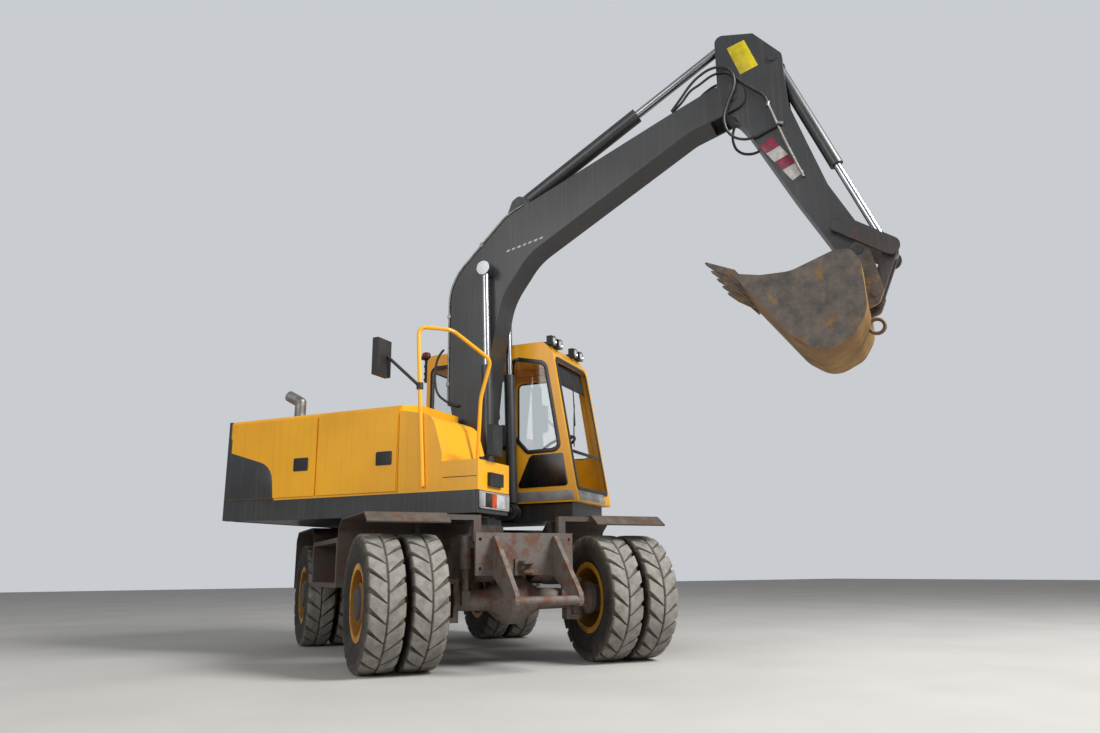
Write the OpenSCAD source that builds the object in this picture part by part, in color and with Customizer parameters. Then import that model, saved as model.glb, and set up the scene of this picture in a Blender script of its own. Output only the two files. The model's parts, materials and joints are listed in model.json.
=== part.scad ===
// Wheeled excavator of the 15 tonne class with twin tyres and a one-piece boom.
// Millimetres, +Z up, +X towards the front of the undercarriage, +Y to its left.
// The origin is on the ground below the middle of the whole machine as it stands.

/* [Stance] */
// Turn of the upper structure from the undercarriage's front, anticlockwise
slew_deg = 42; // [0:1:90]
// Place of the slew axis along X
slew_x = -625; // [-900:5:-300]
// Place of the slew axis along Y
slew_y = -500; // [-800:5:-200]

/* [Undercarriage] */
// Distance between the axles
wheelbase = 2800; // [2600:10:3000]
// Front axle ahead of the slew axis
front_axle_x = 1665; // [1500:5:1800]
// Half width of the chassis beam
chassis_half_w = 330; // [280:5:340]
// Underside of the chassis beam
chassis_z = 640; // [600:5:700]
// Height of the chassis beam
chassis_h = 360; // [300:10:380]
// Top of the slew ring's lower race
ring_z = 1150; // [1120:5:1170]
// Outer radius of the slew ring
ring_r = 520; // [450:10:560]
// Thickness of the fender sheet
fender_t = 12; // [8:1:16]
// Top of the fenders
fender_z = 1160; // [1130:5:1170]

/* [Wheels] */
// Radius of a tyre to the lugs' tips
tyre_r = 505; // [480:5:520]
// Width of a tyre's section
tyre_w = 280; // [250:5:290]
// Distance between the middles of a twin pair
twin_pitch = 320; // [310:5:360]
// Middle of the outer tyre from the machine's middle
outer_y = 1110; // [1080:5:1140]
// Lugs on each side of a tread
lug_count = 22; // [16:1:26]
// Height of a lug
lug_h = 27; // [15:1:35]
// Width of a lug round the tread
lug_w = 72; // [50:1:80]
// Slant of a lug
lug_slant = 18; // [0:1:30]
// Radius of the tyre's seat on the rim
seat_r = 256; // [240:1:270]
// Kingpin from the machine's middle
kingpin_y = 560; // [520:5:580]

/* [Upper structure] */
// Half width of the upper structure
upper_half_w = 1245; // [1200:5:1270]
// Rear edge of the right engine door and of the left one
engine_door_rear = -1690; // [-1700:5:-1600]
// Rear edge of the pump door
pump_door_rear = -660; // [-670:5:-600]
// How far the doors stand proud of the housing
door_proud = 13; // [10:1:20]
// Front edge of the hood's lid
lid_front = -535; // [-560:5:-440]
// Top of the hood's lid
lid_top = 2237; // [2230:1:2260]
// Radius that the tail sweeps
tail_r = 2150; // [2050:10:2250]
// Underside of the skirts
skirt_z = 1190; // [1180:5:1210]
// Top of the skirts, where the housings stand
deck_z = 1376; // [1350:2:1400]
// Top edge of the engine housing's sides
hood_z = 2146; // [2050:2:2200]
// Thickness of a sheet panel with its stiffening
panel_t = 30; // [20:1:40]
// Running gap round a door or lid
door_gap = 6; // [5:1:10]

/* [Cab] */
// Inner side of the cab, from the machine's middle
cab_inner_v = 310; // [304:1:330]
// Thickness of a cab wall
cab_wall = 50; // [40:1:70]
// Top of the cab's roof
cab_top = 3030; // [2950:5:3100]
// Rear edge of the doorway
door_rear = 60; // [20:5:120]
// Rear of the cab behind the slew axis
cab_rear = -520; // [-560:5:-450]

/* [Boom] */
// Half width of the boom
boom_half_w = 155; // [140:1:160]
// Boom ram's middle from the boom's middle
boom_ram_v = 245; // [240:1:260]
// Radius of the boom ram's tube
boom_ram_r = 56; // [50:1:60]
// Radius of the boom ram's rod
boom_rod_r = 38; // [30:1:42]

/* [Arm] */
// Half width of the arm
arm_half_w = 125; // [110:1:130]
// Radius of the arm ram's tube
arm_ram_r = 75; // [60:1:80]
// Radius of the arm ram's rod
arm_rod_r = 42; // [35:1:45]
// Radius of the bucket ram's tube
bucket_ram_r = 60; // [50:1:65]
// Radius of the bucket ram's rod
bucket_rod_r = 35; // [28:1:38]

/* [Bucket] */
// Width of the bucket
bucket_w = 1000; // [900:10:1100]
// Thickness of the bucket's side
bucket_side_t = 22; // [16:1:30]
// Thickness of the bucket's curved shell
bucket_shell_t = 24; // [16:1:30]
// Number of teeth
tooth_count = 5; // [4:1:6]

/* [Hidden] */
$fn = 48;
body_yellow = "#f2a20c";
charcoal = "#2e2f31";
steel_grey = "#6f7072";
rubber = "#3a3a3a";
chrome = "#c9ccd0";
glass = [0.6, 0.7, 0.75, 0.4];
rust = "#8a5a2c";

rear_axle_x = front_axle_x - wheelbase;
axle_z = tyre_r;
hub_y = outer_y - twin_pitch / 2 - 60.3;  // where a wheel pair's disc sits
run_gap = 0.5;     // between pieces that turn or slide on each other
side_gap = 7;      // between the side faces of linked pieces
hinge_out = 20.5;  // the cab door's hinge pins from the cab's side

// Pin centres of the working gear in the upper structure's own plane: [forward, height]
boom_foot = [280, 1660];
boom_ram_foot = [560, 1300];
boom_ram_eye = [495, 3700];
arm_ram_foot = [800, 4430];
arm_pin = [3060, 5035];
arm_ram_eye = [2980, 5680];
bucket_ram_foot = [3455, 5360];
rocker_pin = [3882, 3588];
link_top_pin = [4281, 3313];
bucket_pin = [4030, 3328];
link_low_pin = [4125, 2935];

// An outline's corners are [x, y, radius]; the arc that rounds a corner takes a few steps
// and never takes more than about half of the shorter side next to it.
function unit(a) = a / norm(a);
function xy(p) = [p[0], p[1]];
function turn(a, b) = let (d = b - a) d > 180 ? d - 360 : d < -180 ? d + 360 : d;
function corner(before, at, after, wanted, steps) =
    let (d1 = unit(before - at), d2 = unit(after - at), half = acos(d1 * d2) / 2,
         r = min(wanted, 0.48 * min(norm(before - at), norm(after - at)) * tan(half)),
         centre = at + unit(d1 + d2) * r / sin(half), first = at + d1 * r / tan(half) - centre,
         last = at + d2 * r / tan(half) - centre, a1 = atan2(first.y, first.x),
         sweep = turn(a1, atan2(last.y, last.x)))
    [for (i = [0:steps]) centre + r * [cos(a1 + sweep * i / steps), sin(a1 + sweep * i / steps)]];
function rounded(pts, steps = 5) = let (n = len(pts))
    [for (i = [0:n - 1]) each pts[i][2] == 0 ? [xy(pts[i])]
        : corner(xy(pts[(i + n - 1) % n]), xy(pts[i]), xy(pts[(i + 1) % n]), pts[i][2], steps)];
// A clockwise outline with every edge moved inwards by t
function inset(p, t) = let (n = len(p)) [for (i = [0:n - 1])
    let (a = unit(xy(p[i]) - xy(p[(i + n - 1) % n])), b = unit(xy(p[(i + 1) % n]) - xy(p[i])),
         n1 = [a.y, -a.x], n2 = [b.y, -b.x], m = unit(n1 + n2), at = xy(p[i]) + m * t / (m * n1),
         hollow = a.x * b.y - a.y * b.x > 0)
    [at.x, at.y, p[i][2] == 0 ? 0 : max(p[i][2] + (hollow ? t : -t), 1)]];
// A bent sheet: a line of corners [x, y, radius], and the same line t to its right on the way back
function strip(p, t) = let (n = len(p),
    step = function(i) unit(xy(p[min(i + 1, n - 1)]) - xy(p[min(i, n - 2)])),
    back = [for (i = [0:n - 1]) let (a = step(max(i - 1, 0)), b = step(i), turned = a.x * b.y - a.y * b.x,
        m = unit([a.y + b.y, -a.x - b.x]), at = xy(p[i]) + m * t / (m * [a.y, -a.x]))
        [at.x, at.y, p[i][2] == 0 ? 0 : max(p[i][2] + (turned > 0 ? t : -t), 1)]])
    concat(p, [for (i = [n - 1:-1:0]) back[i]]);
function along(a, b, t) = a + (b - a) * t;
function angle_of(a, b) = atan2(b.y - a.y, b.x - a.x);

module on_chassis() translate([slew_x, slew_y, 0]) children();
module on_upper() on_chassis() rotate([0, 0, slew_deg]) children();
// A plate whose outline lies in the forward-height plane, from one side to the other
module plate(outline, v0, v1, steps = 5)
    translate([0, max(v0, v1), 0]) rotate([90, 0, 0])
        linear_extrude(height = abs(v1 - v0)) polygon(rounded(outline, steps));
// A round bar across the machine
module cross_bar(at, r, v0, v1)
    translate([at.x, max(v0, v1), at.y]) rotate([90, 0, 0]) cylinder(r = r, h = abs(v1 - v0));
// A flat sheet between two heights with a plan outline
module slab(outline, z0, z1) translate([0, 0, z0]) linear_extrude(height = z1 - z0) polygon(rounded(outline));
module block(x0, x1, y0, y1, z0, z1) translate([x0, y0, z0]) cube([x1 - x0, y1 - y0, z1 - z0]);
// A straight round bar between two points in space
module bar(a, b, r) {
    d = b - a;
    translate(a) rotate([0, acos(d.z / norm(d)), atan2(d.y, d.x)]) cylinder(r = r, h = norm(d));
}
// A bent tube along points [x, y, z, bend]; each bend cuts its corner by that length
function bent(p) = let (n = len(p), at = function(i) [p[i].x, p[i].y, p[i].z])
    [at(0), for (i = [1:n - 2]) let (a = at(i) + unit(at(i - 1) - at(i)) * p[i][3],
                                     b = at(i) + unit(at(i + 1) - at(i)) * p[i][3])
        for (t = [0:0.25:1]) along(along(a, at(i), t), along(at(i), b, t), t), at(n - 1)];
function ring_at(p, i, r, sides) =
    let (n = len(p), d = unit(p[min(i + 1, n - 1)] - p[max(i - 1, 0)]),
         side = unit(cross(d, abs(d.y) > 0.9 ? [1, 0, 0] : [0, 1, 0])), up = cross(d, side))
    [for (k = [0:sides - 1]) p[i] + r * (side * cos(k * 360 / sides) + up * sin(k * 360 / sides))];
module rail(points, r, sides = 8) tube(bent(points), r, sides);
module tube(path, r, sides = 8) {
    n = len(path);
    polyhedron(points = [for (i = [0:n - 1]) each ring_at(path, i, r, sides)],
        faces = [[for (k = [0:sides - 1]) k], [for (k = [sides - 1:-1:0]) (n - 1) * sides + k],
                 for (i = [0:n - 2]) for (k = [0:sides - 1]) let (j = (k + 1) % sides)
                     each [[i * sides + k, (i + 1) * sides + k, (i + 1) * sides + j],
                           [i * sides + k, (i + 1) * sides + j, i * sides + j]]]);
}
// Along a ram: x from its foot pin, towards its eye
module ram_frame(foot, eye, v) translate([foot.x, v, foot.y]) rotate([0, -angle_of(foot, eye), 0]) children();

// Wheels
module tyre() {
    half = tyre_w / 2;
    base_r = tyre_r - lug_h;
    rotate([-90, 0, 0]) rotate_extrude() polygon([
        [seat_r, -half + 45], [300, -half + 12], [375, -half], [430, -half + 8], [base_r - 14, -half + 22],
        [base_r, -half + 70], [base_r, half - 70], [base_r - 14, half - 22], [430, half - 8], [375, half],
        [300, half - 12], [seat_r, half - 45]]);
    for (side = [-1, 1]) for (i = [0:lug_count - 1])
        rotate([0, (i + (side > 0 ? 0.5 : 0)) * 360 / lug_count, 0]) scale([1, side, 1])
            rotate([0, 0, lug_slant]) translate([-lug_w / 2, 0, 0]) rotate([90, 0, 90])
                linear_extrude(height = lug_w) polygon([
                    [8, base_r - 12], [8, tyre_r - 1.5], [half - 28, tyre_r - 6], [half - 10, tyre_r - 20],
                    [half + 1, tyre_r - 70], [half - 30, tyre_r - 70], [half - 30, base_r - 12]]);
}
module tyres() color(rubber) for (y = [outer_y, outer_y - twin_pitch]) translate([0, y, axle_z]) tyre();
module rims() color(body_yellow) translate([0, 0, axle_z]) rotate([-90, 0, 0]) rotate_extrude() {
    inner = outer_y - twin_pitch - tyre_w / 2 + 22;
    outer = outer_y + tyre_w / 2 - 22;
    mid = outer_y - twin_pitch / 2;
    polygon([[238, inner], [seat_r + 29, inner], [seat_r + 19, inner + 8], [seat_r - run_gap, inner + 22.7],
        [seat_r - run_gap, mid - 42], [282, mid - 30], [282, mid + 30], [seat_r - run_gap, mid + 42],
        [seat_r - run_gap, outer - 22.7], [seat_r + 19, outer - 8], [seat_r + 29, outer], [238, outer], [236, mid + 26],
        [150, mid + 16], [142, outer - 20], [110, outer + 4], [0, outer + 10], [0, mid - 60], [130, mid - 60],
        [140, mid - 18], [236, mid - 14]]);
}
module wheel_place(x, side) on_chassis() translate([x, 0, 0]) scale([1, side, 1]) children();

// Undercarriage
module chassis_frame() color(steel_grey) on_chassis() difference() {
    union() {
        rear = rear_axle_x - 480;
        front = front_axle_x + 255;
        plate([[rear, chassis_z + 90, 40], [rear + 300, chassis_z, 60], [front - 260, chassis_z, 60],
               [front, chassis_z + 90, 20], [front, chassis_z + chassis_h, 20],
               [rear, chassis_z + chassis_h, 40]], -chassis_half_w, chassis_half_w);
        translate([0, 0, chassis_z + chassis_h - 60]) cylinder(r = ring_r + 60, h = 120);
        translate([0, 0, chassis_z + chassis_h]) cylinder(r = ring_r, h = ring_z - chassis_z - chassis_h);
        for (s = [-1, 1]) scale([1, s, 1])
            slab([[-760, chassis_half_w - 20, 0], [700, chassis_half_w - 20, 0], [420, 620, 60], [-480, 620, 60]],
                 chassis_z + chassis_h - 60, chassis_z + chassis_h);
    }
    for (x = [front_axle_x, rear_axle_x]) block(x - 205, x + 205, -155, 155, chassis_z - 1, axle_z + 195);
}
module drawbar_bracket() color(steel_grey) on_chassis() {
    face = front_axle_x + 255.3;
    difference() {
        block(face, face + 30, -405, 405, 690, 1010);
        for (y = [-370, 370]) for (z = [740, 960]) translate([face - 1, y, z]) rotate([0, 90, 0])
            cylinder(r = 13, h = 40);
    }
    for (s = [-1, 1]) plate([[face + 29, 985, 0], [face + 60, 985, 10], [face + 500, 560, 50],
                             [face + 500, 470, 30], [face + 420, 470, 0], [face + 29, 690, 0]],
                            s * 250 - 17, s * 250 + 17);
    cross_bar([face + 470, 512], 32, -270, 270);
    // tow jaw: a cast base with two shelves for an upright pin
    block(face + 29, face + 46, -90, 90, 690, 815);
    difference() {
        for (z = [705, 775]) slab([[face + 40, -62, 0], [face + 110, -45, 30], [face + 110, 45, 30],
                                   [face + 40, 62, 0]], z, z + 24);
        translate([face + 75, 0, 600]) cylinder(r = 18, h = 300);
    }
}
module axle_beam(reach) {
    rotate([-90, 0, 0]) rotate_extrude() polygon([[0, -reach], [78, -reach], [85, -210], [125, -150], [190, -60],
        [190, 60], [125, 150], [85, 210], [78, reach], [0, reach]]);
}
module front_axle() color(steel_grey) on_chassis() translate([front_axle_x, 0, axle_z]) difference() {
    union() {
        axle_beam(kingpin_y - 62);
        for (s = [-1, 1]) for (z = [-1, 1]) translate([0, s * kingpin_y, z * 145]) {
            translate([0, 0, -20]) cylinder(r = 58, h = 40);
            translate([-50, s < 0 ? 0 : -100, -20]) cube([100, 100, 40]);
        }
        for (s = [-1, 1]) translate([-50, s * (kingpin_y - 80) - 20, -165]) cube([100, 40, 330]);
        translate([-70, -90, 100]) cube([140, 180, 94.7]);
        for (s = [-1, 1]) translate([0, s * 420 - 32, -40]) cube([118, 64, 110]);
    }
    for (s = [-1, 1]) translate([0, s * kingpin_y, -200]) cylinder(r = 30 + run_gap, h = 400);
}
module knuckle(side) color(steel_grey) wheel_place(front_axle_x, side) translate([0, kingpin_y, axle_z]) {
    translate([0, 0, -170]) cylinder(r = 30, h = 340);
    difference() {
        translate([0, 0, -120]) cylinder(r = 55, h = 240);
        for (z = [-121, 91]) translate([0, 0, z]) cylinder(r = 40, h = 1);
    }
    rotate([-90, 0, 0]) rotate_extrude() polygon([[0, 0], [50, 20], [100, 70], [130, 90], [130, 130], [110, 165],
        [110, hub_y - kingpin_y], [0, hub_y - kingpin_y]]);
}
module rear_axle() color(steel_grey) on_chassis() translate([rear_axle_x, 0, axle_z]) {
    axle_beam(hub_y);
    for (s = [-1, 1]) translate([-90, s * 230 - 60, 60]) cube([180, 120, chassis_z - axle_z - 60 - run_gap]);
}
module axle_lock_rams() color(charcoal) on_chassis() for (s = [-1, 1]) {
    translate([front_axle_x + 85, s * 420, axle_z + 70.3]) cylinder(r = 26, h = 200);
    translate([front_axle_x + 85, s * 420, 740]) cylinder(r = 48, h = 250);
    translate([front_axle_x + 45, s > 0 ? chassis_half_w + 0.3 : -430, 900]) cube([80, 100 - 0.3, 60]);
}
module driveline() color(steel_grey) on_chassis() {
    block(60, 420, -150, 150, 440, 639.5);
    bar([419, 0, 520], [front_axle_x - 191, 0, 505], 38);
    bar([61, 0, 520], [rear_axle_x + 191, 0, 505], 38);
}
module fender(line) plate(strip(line, fender_t), 615, upper_half_w);
module front_fenders() color(charcoal) for (s = [-1, 1]) wheel_place(0, s) {
    fender([[845, 605, 0], [845, fender_z - 90, 60], [975, fender_z, 60], [front_axle_x + 210, fender_z, 60],
            [front_axle_x + 330, fender_z - 75, 0]]);
    block(990, 1050, chassis_half_w + 0.3, 630, 930, 990);
    block(990, 1050, 600, 630, 930, fender_z - 11);
    block(front_axle_x + 130, front_axle_x + 190, chassis_half_w + 0.3, 660, 1110, fender_z - 11);
    block(front_axle_x + 130, front_axle_x + 190, chassis_half_w + 0.3, chassis_half_w + 60, 950, 1110);
}
module rear_fenders() color(charcoal) for (s = [-1, 1]) wheel_place(0, s) {
    fender([[rear_axle_x - 600, 560, 0], [rear_axle_x - 600, fender_z - 90, 60], [rear_axle_x - 470, fender_z, 60],
            [-600, fender_z, 60], [-480, fender_z - 60, 40], [-480, 610, 0]]);
    block(rear_axle_x - 60, rear_axle_x + 60, chassis_half_w + 0.3, 630, 940, 999);
    block(rear_axle_x - 60, rear_axle_x + 60, 600, 630, 940, fender_z - 11);
}
module side_steps() color(charcoal) for (s = [-1, 1]) wheel_place(0, s) difference() {
    union() {
        block(-479.7, 830, 700, upper_half_w, 600, 1010);
        for (x = [-330, 620]) block(x, x + 80, chassis_half_w + 0.3, 701, 700, 790);
    }
    block(-420, 790, 900, upper_half_w + 1, 640, 970);
    block(-300, 700, 600, 860, 560, 960);
}

// Upper structure
module slew_platform() color(charcoal) on_upper() difference() {
    union() {
        translate([0, 0, ring_z + run_gap]) cylinder(r = ring_r - 20, h = skirt_z - ring_z + 20);
        slab([[-1600, -1200, 60], [620, -1200, 20], [620, -360, 0], [400, -360, 0], [400, 360, 0], [1160, 360, 0],
              [1160, 1200, 40], [-1600, 1200, 60]], skirt_z + 10, deck_z - 0.5);
        for (s = [-1, 1]) plate([[-260, deck_z - 1, 0], [520, deck_z - 1, 0], [400, 1760, 60], [280, 1830, 90],
                                 [160, 1760, 60]], s * (boom_half_w + side_gap), s * (boom_half_w + side_gap + 20));
        for (s = [-1, 1]) for (w = [boom_ram_v - 75, boom_ram_v + 45])
            plate([[390, skirt_z + 15, 0], [600, skirt_z + 25, 40], [628, 1300, 60], [585, 1368, 40],
                   [500, 1368, 0], [390, deck_z - 10, 0]], s * w, s * (w + 30));
    }
    cross_bar(boom_foot, 45 + run_gap, -300, 300);
    cross_bar(boom_ram_foot, 35 + run_gap, -400, 400);
}
module skirts() color(charcoal) on_upper() difference() {
    slab([[-1150, -upper_half_w, 0], [990, -upper_half_w, 40], [990, -682, 30], [642, -682, 0], [642, -1205, 0],
          [-1150, -1205, 0]], skirt_z, deck_z);
    block(660, 960, -1215, -700, skirt_z - 1, deck_z - 20);
}
module counterweight() color(charcoal) on_upper() {
    intersection() {
        translate([0, 0, 1000]) cylinder(r = tail_r, h = 1300, $fn = 240);
        plate([[-2200, 1250, 60], [-1601, 1195, 0], [-1601, deck_z - 0.5, 0], [-1720, deck_z - 0.5, 0],
               [-1720, hood_z, 0], [-2200, hood_z, 70]], -upper_half_w, upper_half_w);
    }
    for (s = [-1, 1]) plate(side_panel, s * (upper_half_w - 40), s * upper_half_w);
}
// Dark panel that carries the counterweight's line on along each side
side_panel = [[-1721, 1204, 0], [-1151, 1194, 0], [-1151, 1640, 160], [-1500, 1720, 300], [-1721, 1990, 0]];
module engine_housing() color(body_yellow) on_upper() difference() {
    hull_outline = [[-upper_half_w, deck_z, 0], [upper_half_w, deck_z, 0], [upper_half_w, hood_z, 40],
        [900, hood_z + 60, 200], [-900, hood_z + 60, 200], [-upper_half_w, hood_z, 40]];
    difference() {
        translate([-1719, 0, 0]) rotate([90, 0, 90]) linear_extrude(height = 1719 + 200) polygon(rounded(hull_outline));
        translate([-1719 + panel_t, 0, 0]) rotate([90, 0, 90]) linear_extrude(height = 1719 + 200 - 2 * panel_t)
            offset_outline();
    }
    for (s = [-1, 1]) plate(inset(side_panel, 1), s * (upper_half_w - 41), s * (upper_half_w + 1));
    block(cab_rear - 30, 400, 250, 1300, deck_z - 1, 2400);
    block(-200, 400, -230, 1300, deck_z - 1, 2400);
}
module offset_outline() polygon(rounded([[-upper_half_w + panel_t, deck_z - 1, 0], [upper_half_w - panel_t, deck_z - 1, 0],
    [upper_half_w - panel_t, hood_z - panel_t, 20], [900, hood_z + 60 - panel_t, 200], [-900, hood_z + 60 - panel_t, 200],
    [-upper_half_w + panel_t, hood_z - panel_t, 20]]));
module engine() color(steel_grey) on_upper() block(-1350, -650, -560, 560, deck_z, 1950);
module tank() color(body_yellow) on_upper() {
    plate([[206, deck_z, 0], [641, deck_z, 0], [641, 1700, 60], [540, 2040, 160], [206, 2100, 30]], -upper_half_w, -460);
}
module front_box() color(body_yellow) on_upper() block(642, 990, -upper_half_w, -682, deck_z, 1627);

// Cab
cab_outline = [[cab_rear, deck_z, 40], [1239, deck_z, 20], [985, 2900, 60], [880, cab_top, 60],
    [cab_rear, cab_top, 90]];
module cab_shell() color(body_yellow) on_upper() {
    cab_body();
    for (z = [1650, 2600]) {
        hinge_post(8, z - 20, z + 80);
        for (h = [z - 30, z + 65]) {
            hinge_post(18, h, h + 20);
            block(door_rear - 60, door_rear - 8, upper_half_w - 1, upper_half_w + hinge_out, h, h + 20);
        }
    }
}
module cab_body() difference() {
    plate(cab_outline, cab_inner_v, upper_half_w);
    plate([[cab_rear + cab_wall, deck_z + cab_wall, 30], [1239 - cab_wall, deck_z + cab_wall, 20],
           [985 - cab_wall, 2880, 60], [860, cab_top - cab_wall, 50], [cab_rear + cab_wall, cab_top - cab_wall, 60]],
          cab_inner_v + cab_wall, upper_half_w - cab_wall);
    // windows: inner side, front, rear and the doorway
    plate([[530, 2080, 60], [700, 1890, 60], [1050, 1900, 60], [900, 2800, 90], [530, 2880, 60]],
          cab_inner_v - 1, cab_inner_v + cab_wall + 1);
    plate([[-450, 1950, 60], [480, 1950, 40], [480, 2880, 60], [-450, 2880, 60]], cab_inner_v - 1, cab_inner_v + cab_wall + 1);
    plate([[900, 1500, 0], [1400, 1500, 0], [1400, 2860, 0], [900, 2860, 0]], cab_inner_v + 60, upper_half_w - 60);
    block(cab_rear - 1, cab_rear + cab_wall + 1, cab_inner_v + 80, upper_half_w - 80, 2150, 2880);
    plate([[60, deck_z + 60, 30], [1150, deck_z + 60, 30], [925, 2900, 60], [60, 2900, 60]],
          upper_half_w - cab_wall - 1, upper_half_w + 1);
    plate([[-440, 2000, 60], [0, 2000, 60], [0, 2880, 60], [-440, 2880, 60]], upper_half_w - cab_wall - 1, upper_half_w + 1);
}
module cab_glass() color(glass) on_upper() {
    plate([[530.5, 2080, 60], [700, 1890.5, 60], [1049.5, 1900.5, 60], [899.5, 2799.5, 90], [530.5, 2879.5, 60]],
          cab_inner_v + 20, cab_inner_v + 26);
    plate([[-449.5, 1950.5, 60], [479.5, 1950.5, 40], [479.5, 2879.5, 60], [-449.5, 2879.5, 60]],
          cab_inner_v + 20, cab_inner_v + 26);
}
module seat() color(charcoal) on_upper() {
    block(150, 620, 520, 1010, 1640, 1780);
    plate([[60, 1700, 30], [200, 1700, 30], [120, 2420, 50], [0, 2420, 50]], 530, 1000);
    block(260, 520, 620, 910, deck_z + cab_wall, 1640);
}
module cab_controls() color(charcoal) on_upper() {
    translate([1000, 760, deck_z + cab_wall]) cylinder(r = 60, h = 80);
    bar([1000, 760, deck_z + cab_wall + 50], [850, 760, 2000], 35);
    translate([850, 760, 2010]) rotate([0, -25, 0]) rotate_extrude() translate([180, 0]) circle(r = 15);
    translate([850, 760, 2010]) rotate([0, -25, 0]) translate([-180, -20, -8]) cube([360, 40, 16]);
    block(100, 600, 380, 500, deck_z + cab_wall, 1900);
}
rail_v = -upper_half_w - 18.4;
rail_foot = [470, rail_v, 1420];
rail_knee = [430, rail_v, 2055];
rail_top = [385, rail_v, 2835];
module handrails() color(body_yellow) on_upper() {
    rail([[rail_foot.x, rail_foot.y, rail_foot.z, 0], [rail_knee.x, rail_knee.y, rail_knee.z, 60],
          [rail_top.x, rail_top.y, rail_top.z, 80], [600, -1050, 2835, 60], [823, -720, 2600, 60],
          [720, -720, 2263, 60], [690, -720, 1628, 0]], 18);
}
module mirrors() color(charcoal) on_upper() {
    translate([80, -1370, 2560]) cube([60, 200, 330], center = true);
    hold = along(rail_knee, rail_top, 0.3);
    difference() {
        union() {
            bar(along(rail_knee, rail_top, 0.27), along(rail_knee, rail_top, 0.34), 30);
            bar([100, -1330, 2590], hold, 14);
        }
        bar(along(rail_knee, rail_top, 0.2), along(rail_knee, rail_top, 0.45), 18.4);
    }
    translate([1040, -1040, 1800]) cube([50, 180, 260], center = true);
    translate([960, -1120, 1627.3]) cylinder(r = 25, h = 30);
    bar([960, -1120, 1645], [1035, -1040, 1700], 12);
}
module exhaust() color(charcoal) on_upper() difference() {
    union() {
        translate([-1330, -750, hood_z + 60.3]) cylinder(r = 55, h = 190);
        translate([-1330, -750, hood_z + 250.3]) sphere(r = 55);
        bar([-1330, -750, hood_z + 250.3], [-1480, -750, hood_z + 330], 55);
    }
    bar([-1380, -750, hood_z + 277], [-1500, -750, hood_z + 341], 48);
}
module lamps() color(charcoal) on_upper() {
    for (v = [400, 560, 980, 1140]) translate([0, v, 0]) {
        block(905, 965, -60, 60, 3005, 3095);
        block(800, 906, -15, 15, cab_top + 0.3, cab_top + 15);
    }
    translate([990.3, -960, 1420]) block(0, 30, -120, 120, 0, 110);
}
// Doors and lid
module hinge_post(r, z0, z1) translate([door_rear - 8, upper_half_w + hinge_out, z0]) cylinder(r = r, h = z1 - z0);
module cab_door() color(body_yellow) on_upper() difference() {
    union() {
        door_panel();
        for (z = [1650, 2600]) {
            hinge_post(18, z + 2, z + 58);
            block(door_rear + 8, door_rear + 60, upper_half_w - 1, upper_half_w + 8, z + 2, z + 58);
            block(door_rear - 8, door_rear + 60, upper_half_w + 3, upper_half_w + hinge_out, z + 2, z + 58);
        }
    }
    for (z = [1650, 2600]) hinge_post(8 + run_gap, z - 5, z + 65);
}
module door_panel() difference() {
    plate([[60 + door_gap, deck_z + 60 + door_gap, 30], [1150 - door_gap, deck_z + 60 + door_gap, 30],
           [925 - door_gap, 2900 - door_gap, 60], [60 + door_gap, 2900 - door_gap, 60]],
          upper_half_w - cab_wall + 5, upper_half_w);
    plate([[130, 1900, 60], [1020, 1900, 60], [880, 2830, 60], [130, 2830, 60]], upper_half_w - cab_wall, upper_half_w + 1);
}
module side_door(x0, x1, side) color(body_yellow) on_upper() scale([1, side, 1])
    block(x0, x1, upper_half_w + run_gap, upper_half_w + door_proud, deck_z + 20, hood_z - 30);
module hood_lid() color(body_yellow) on_upper() block(-1500, lid_front, -640, 800, hood_z + 60 + run_gap, lid_top);

// Boom
boom_outline = [[180, 1570, 80], [380, 1570, 80], [520, 2860, 400], [640, 3420, 700], [940, 3820, 600],
    [2640, 4765, 300], [3180, 4930, 110], [3180, 5170, 110], [2900, 5170, 150], [2440, 4990, 300],
    [700, 4270, 500], [50, 3640, 500], [50, 2400, 500], [180, 1750, 80]];
module boom() color(charcoal) on_upper() difference() {
    union() {
        plate(boom_outline, -boom_half_w, boom_half_w, 8);
        cross_bar(boom_foot, 45, -boom_half_w - side_gap - 34, boom_half_w + side_gap + 34);
        cross_bar(boom_ram_eye, 75, -boom_ram_v + 50 + side_gap, boom_ram_v - 50 - side_gap);
        for (s = [-1, 1]) plate([[640, 4240, 0], [960, 4372, 0], [850, 4480, 50], [800, 4505, 70], [725, 4460, 50]],
                                s * (ram_ear + side_gap), s * (ram_ear + side_gap + 40));
        cross_bar(arm_ram_foot, 40, -ram_ear - side_gap - 47, ram_ear + side_gap + 47);
    }
    // fork for the arm at the tip
    plate([[2840, 4700, 0], [3300, 4700, 0], [3300, 5300, 0], [2560, 5300, 0], [2560, 5055, 0], [2700, 5005, 0],
           [2840, 4940, 0]], -arm_half_w - side_gap, arm_half_w + side_gap);
    cross_bar(arm_pin, 50 + run_gap, -300, 300);
}
pipe_r = 11;
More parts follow.
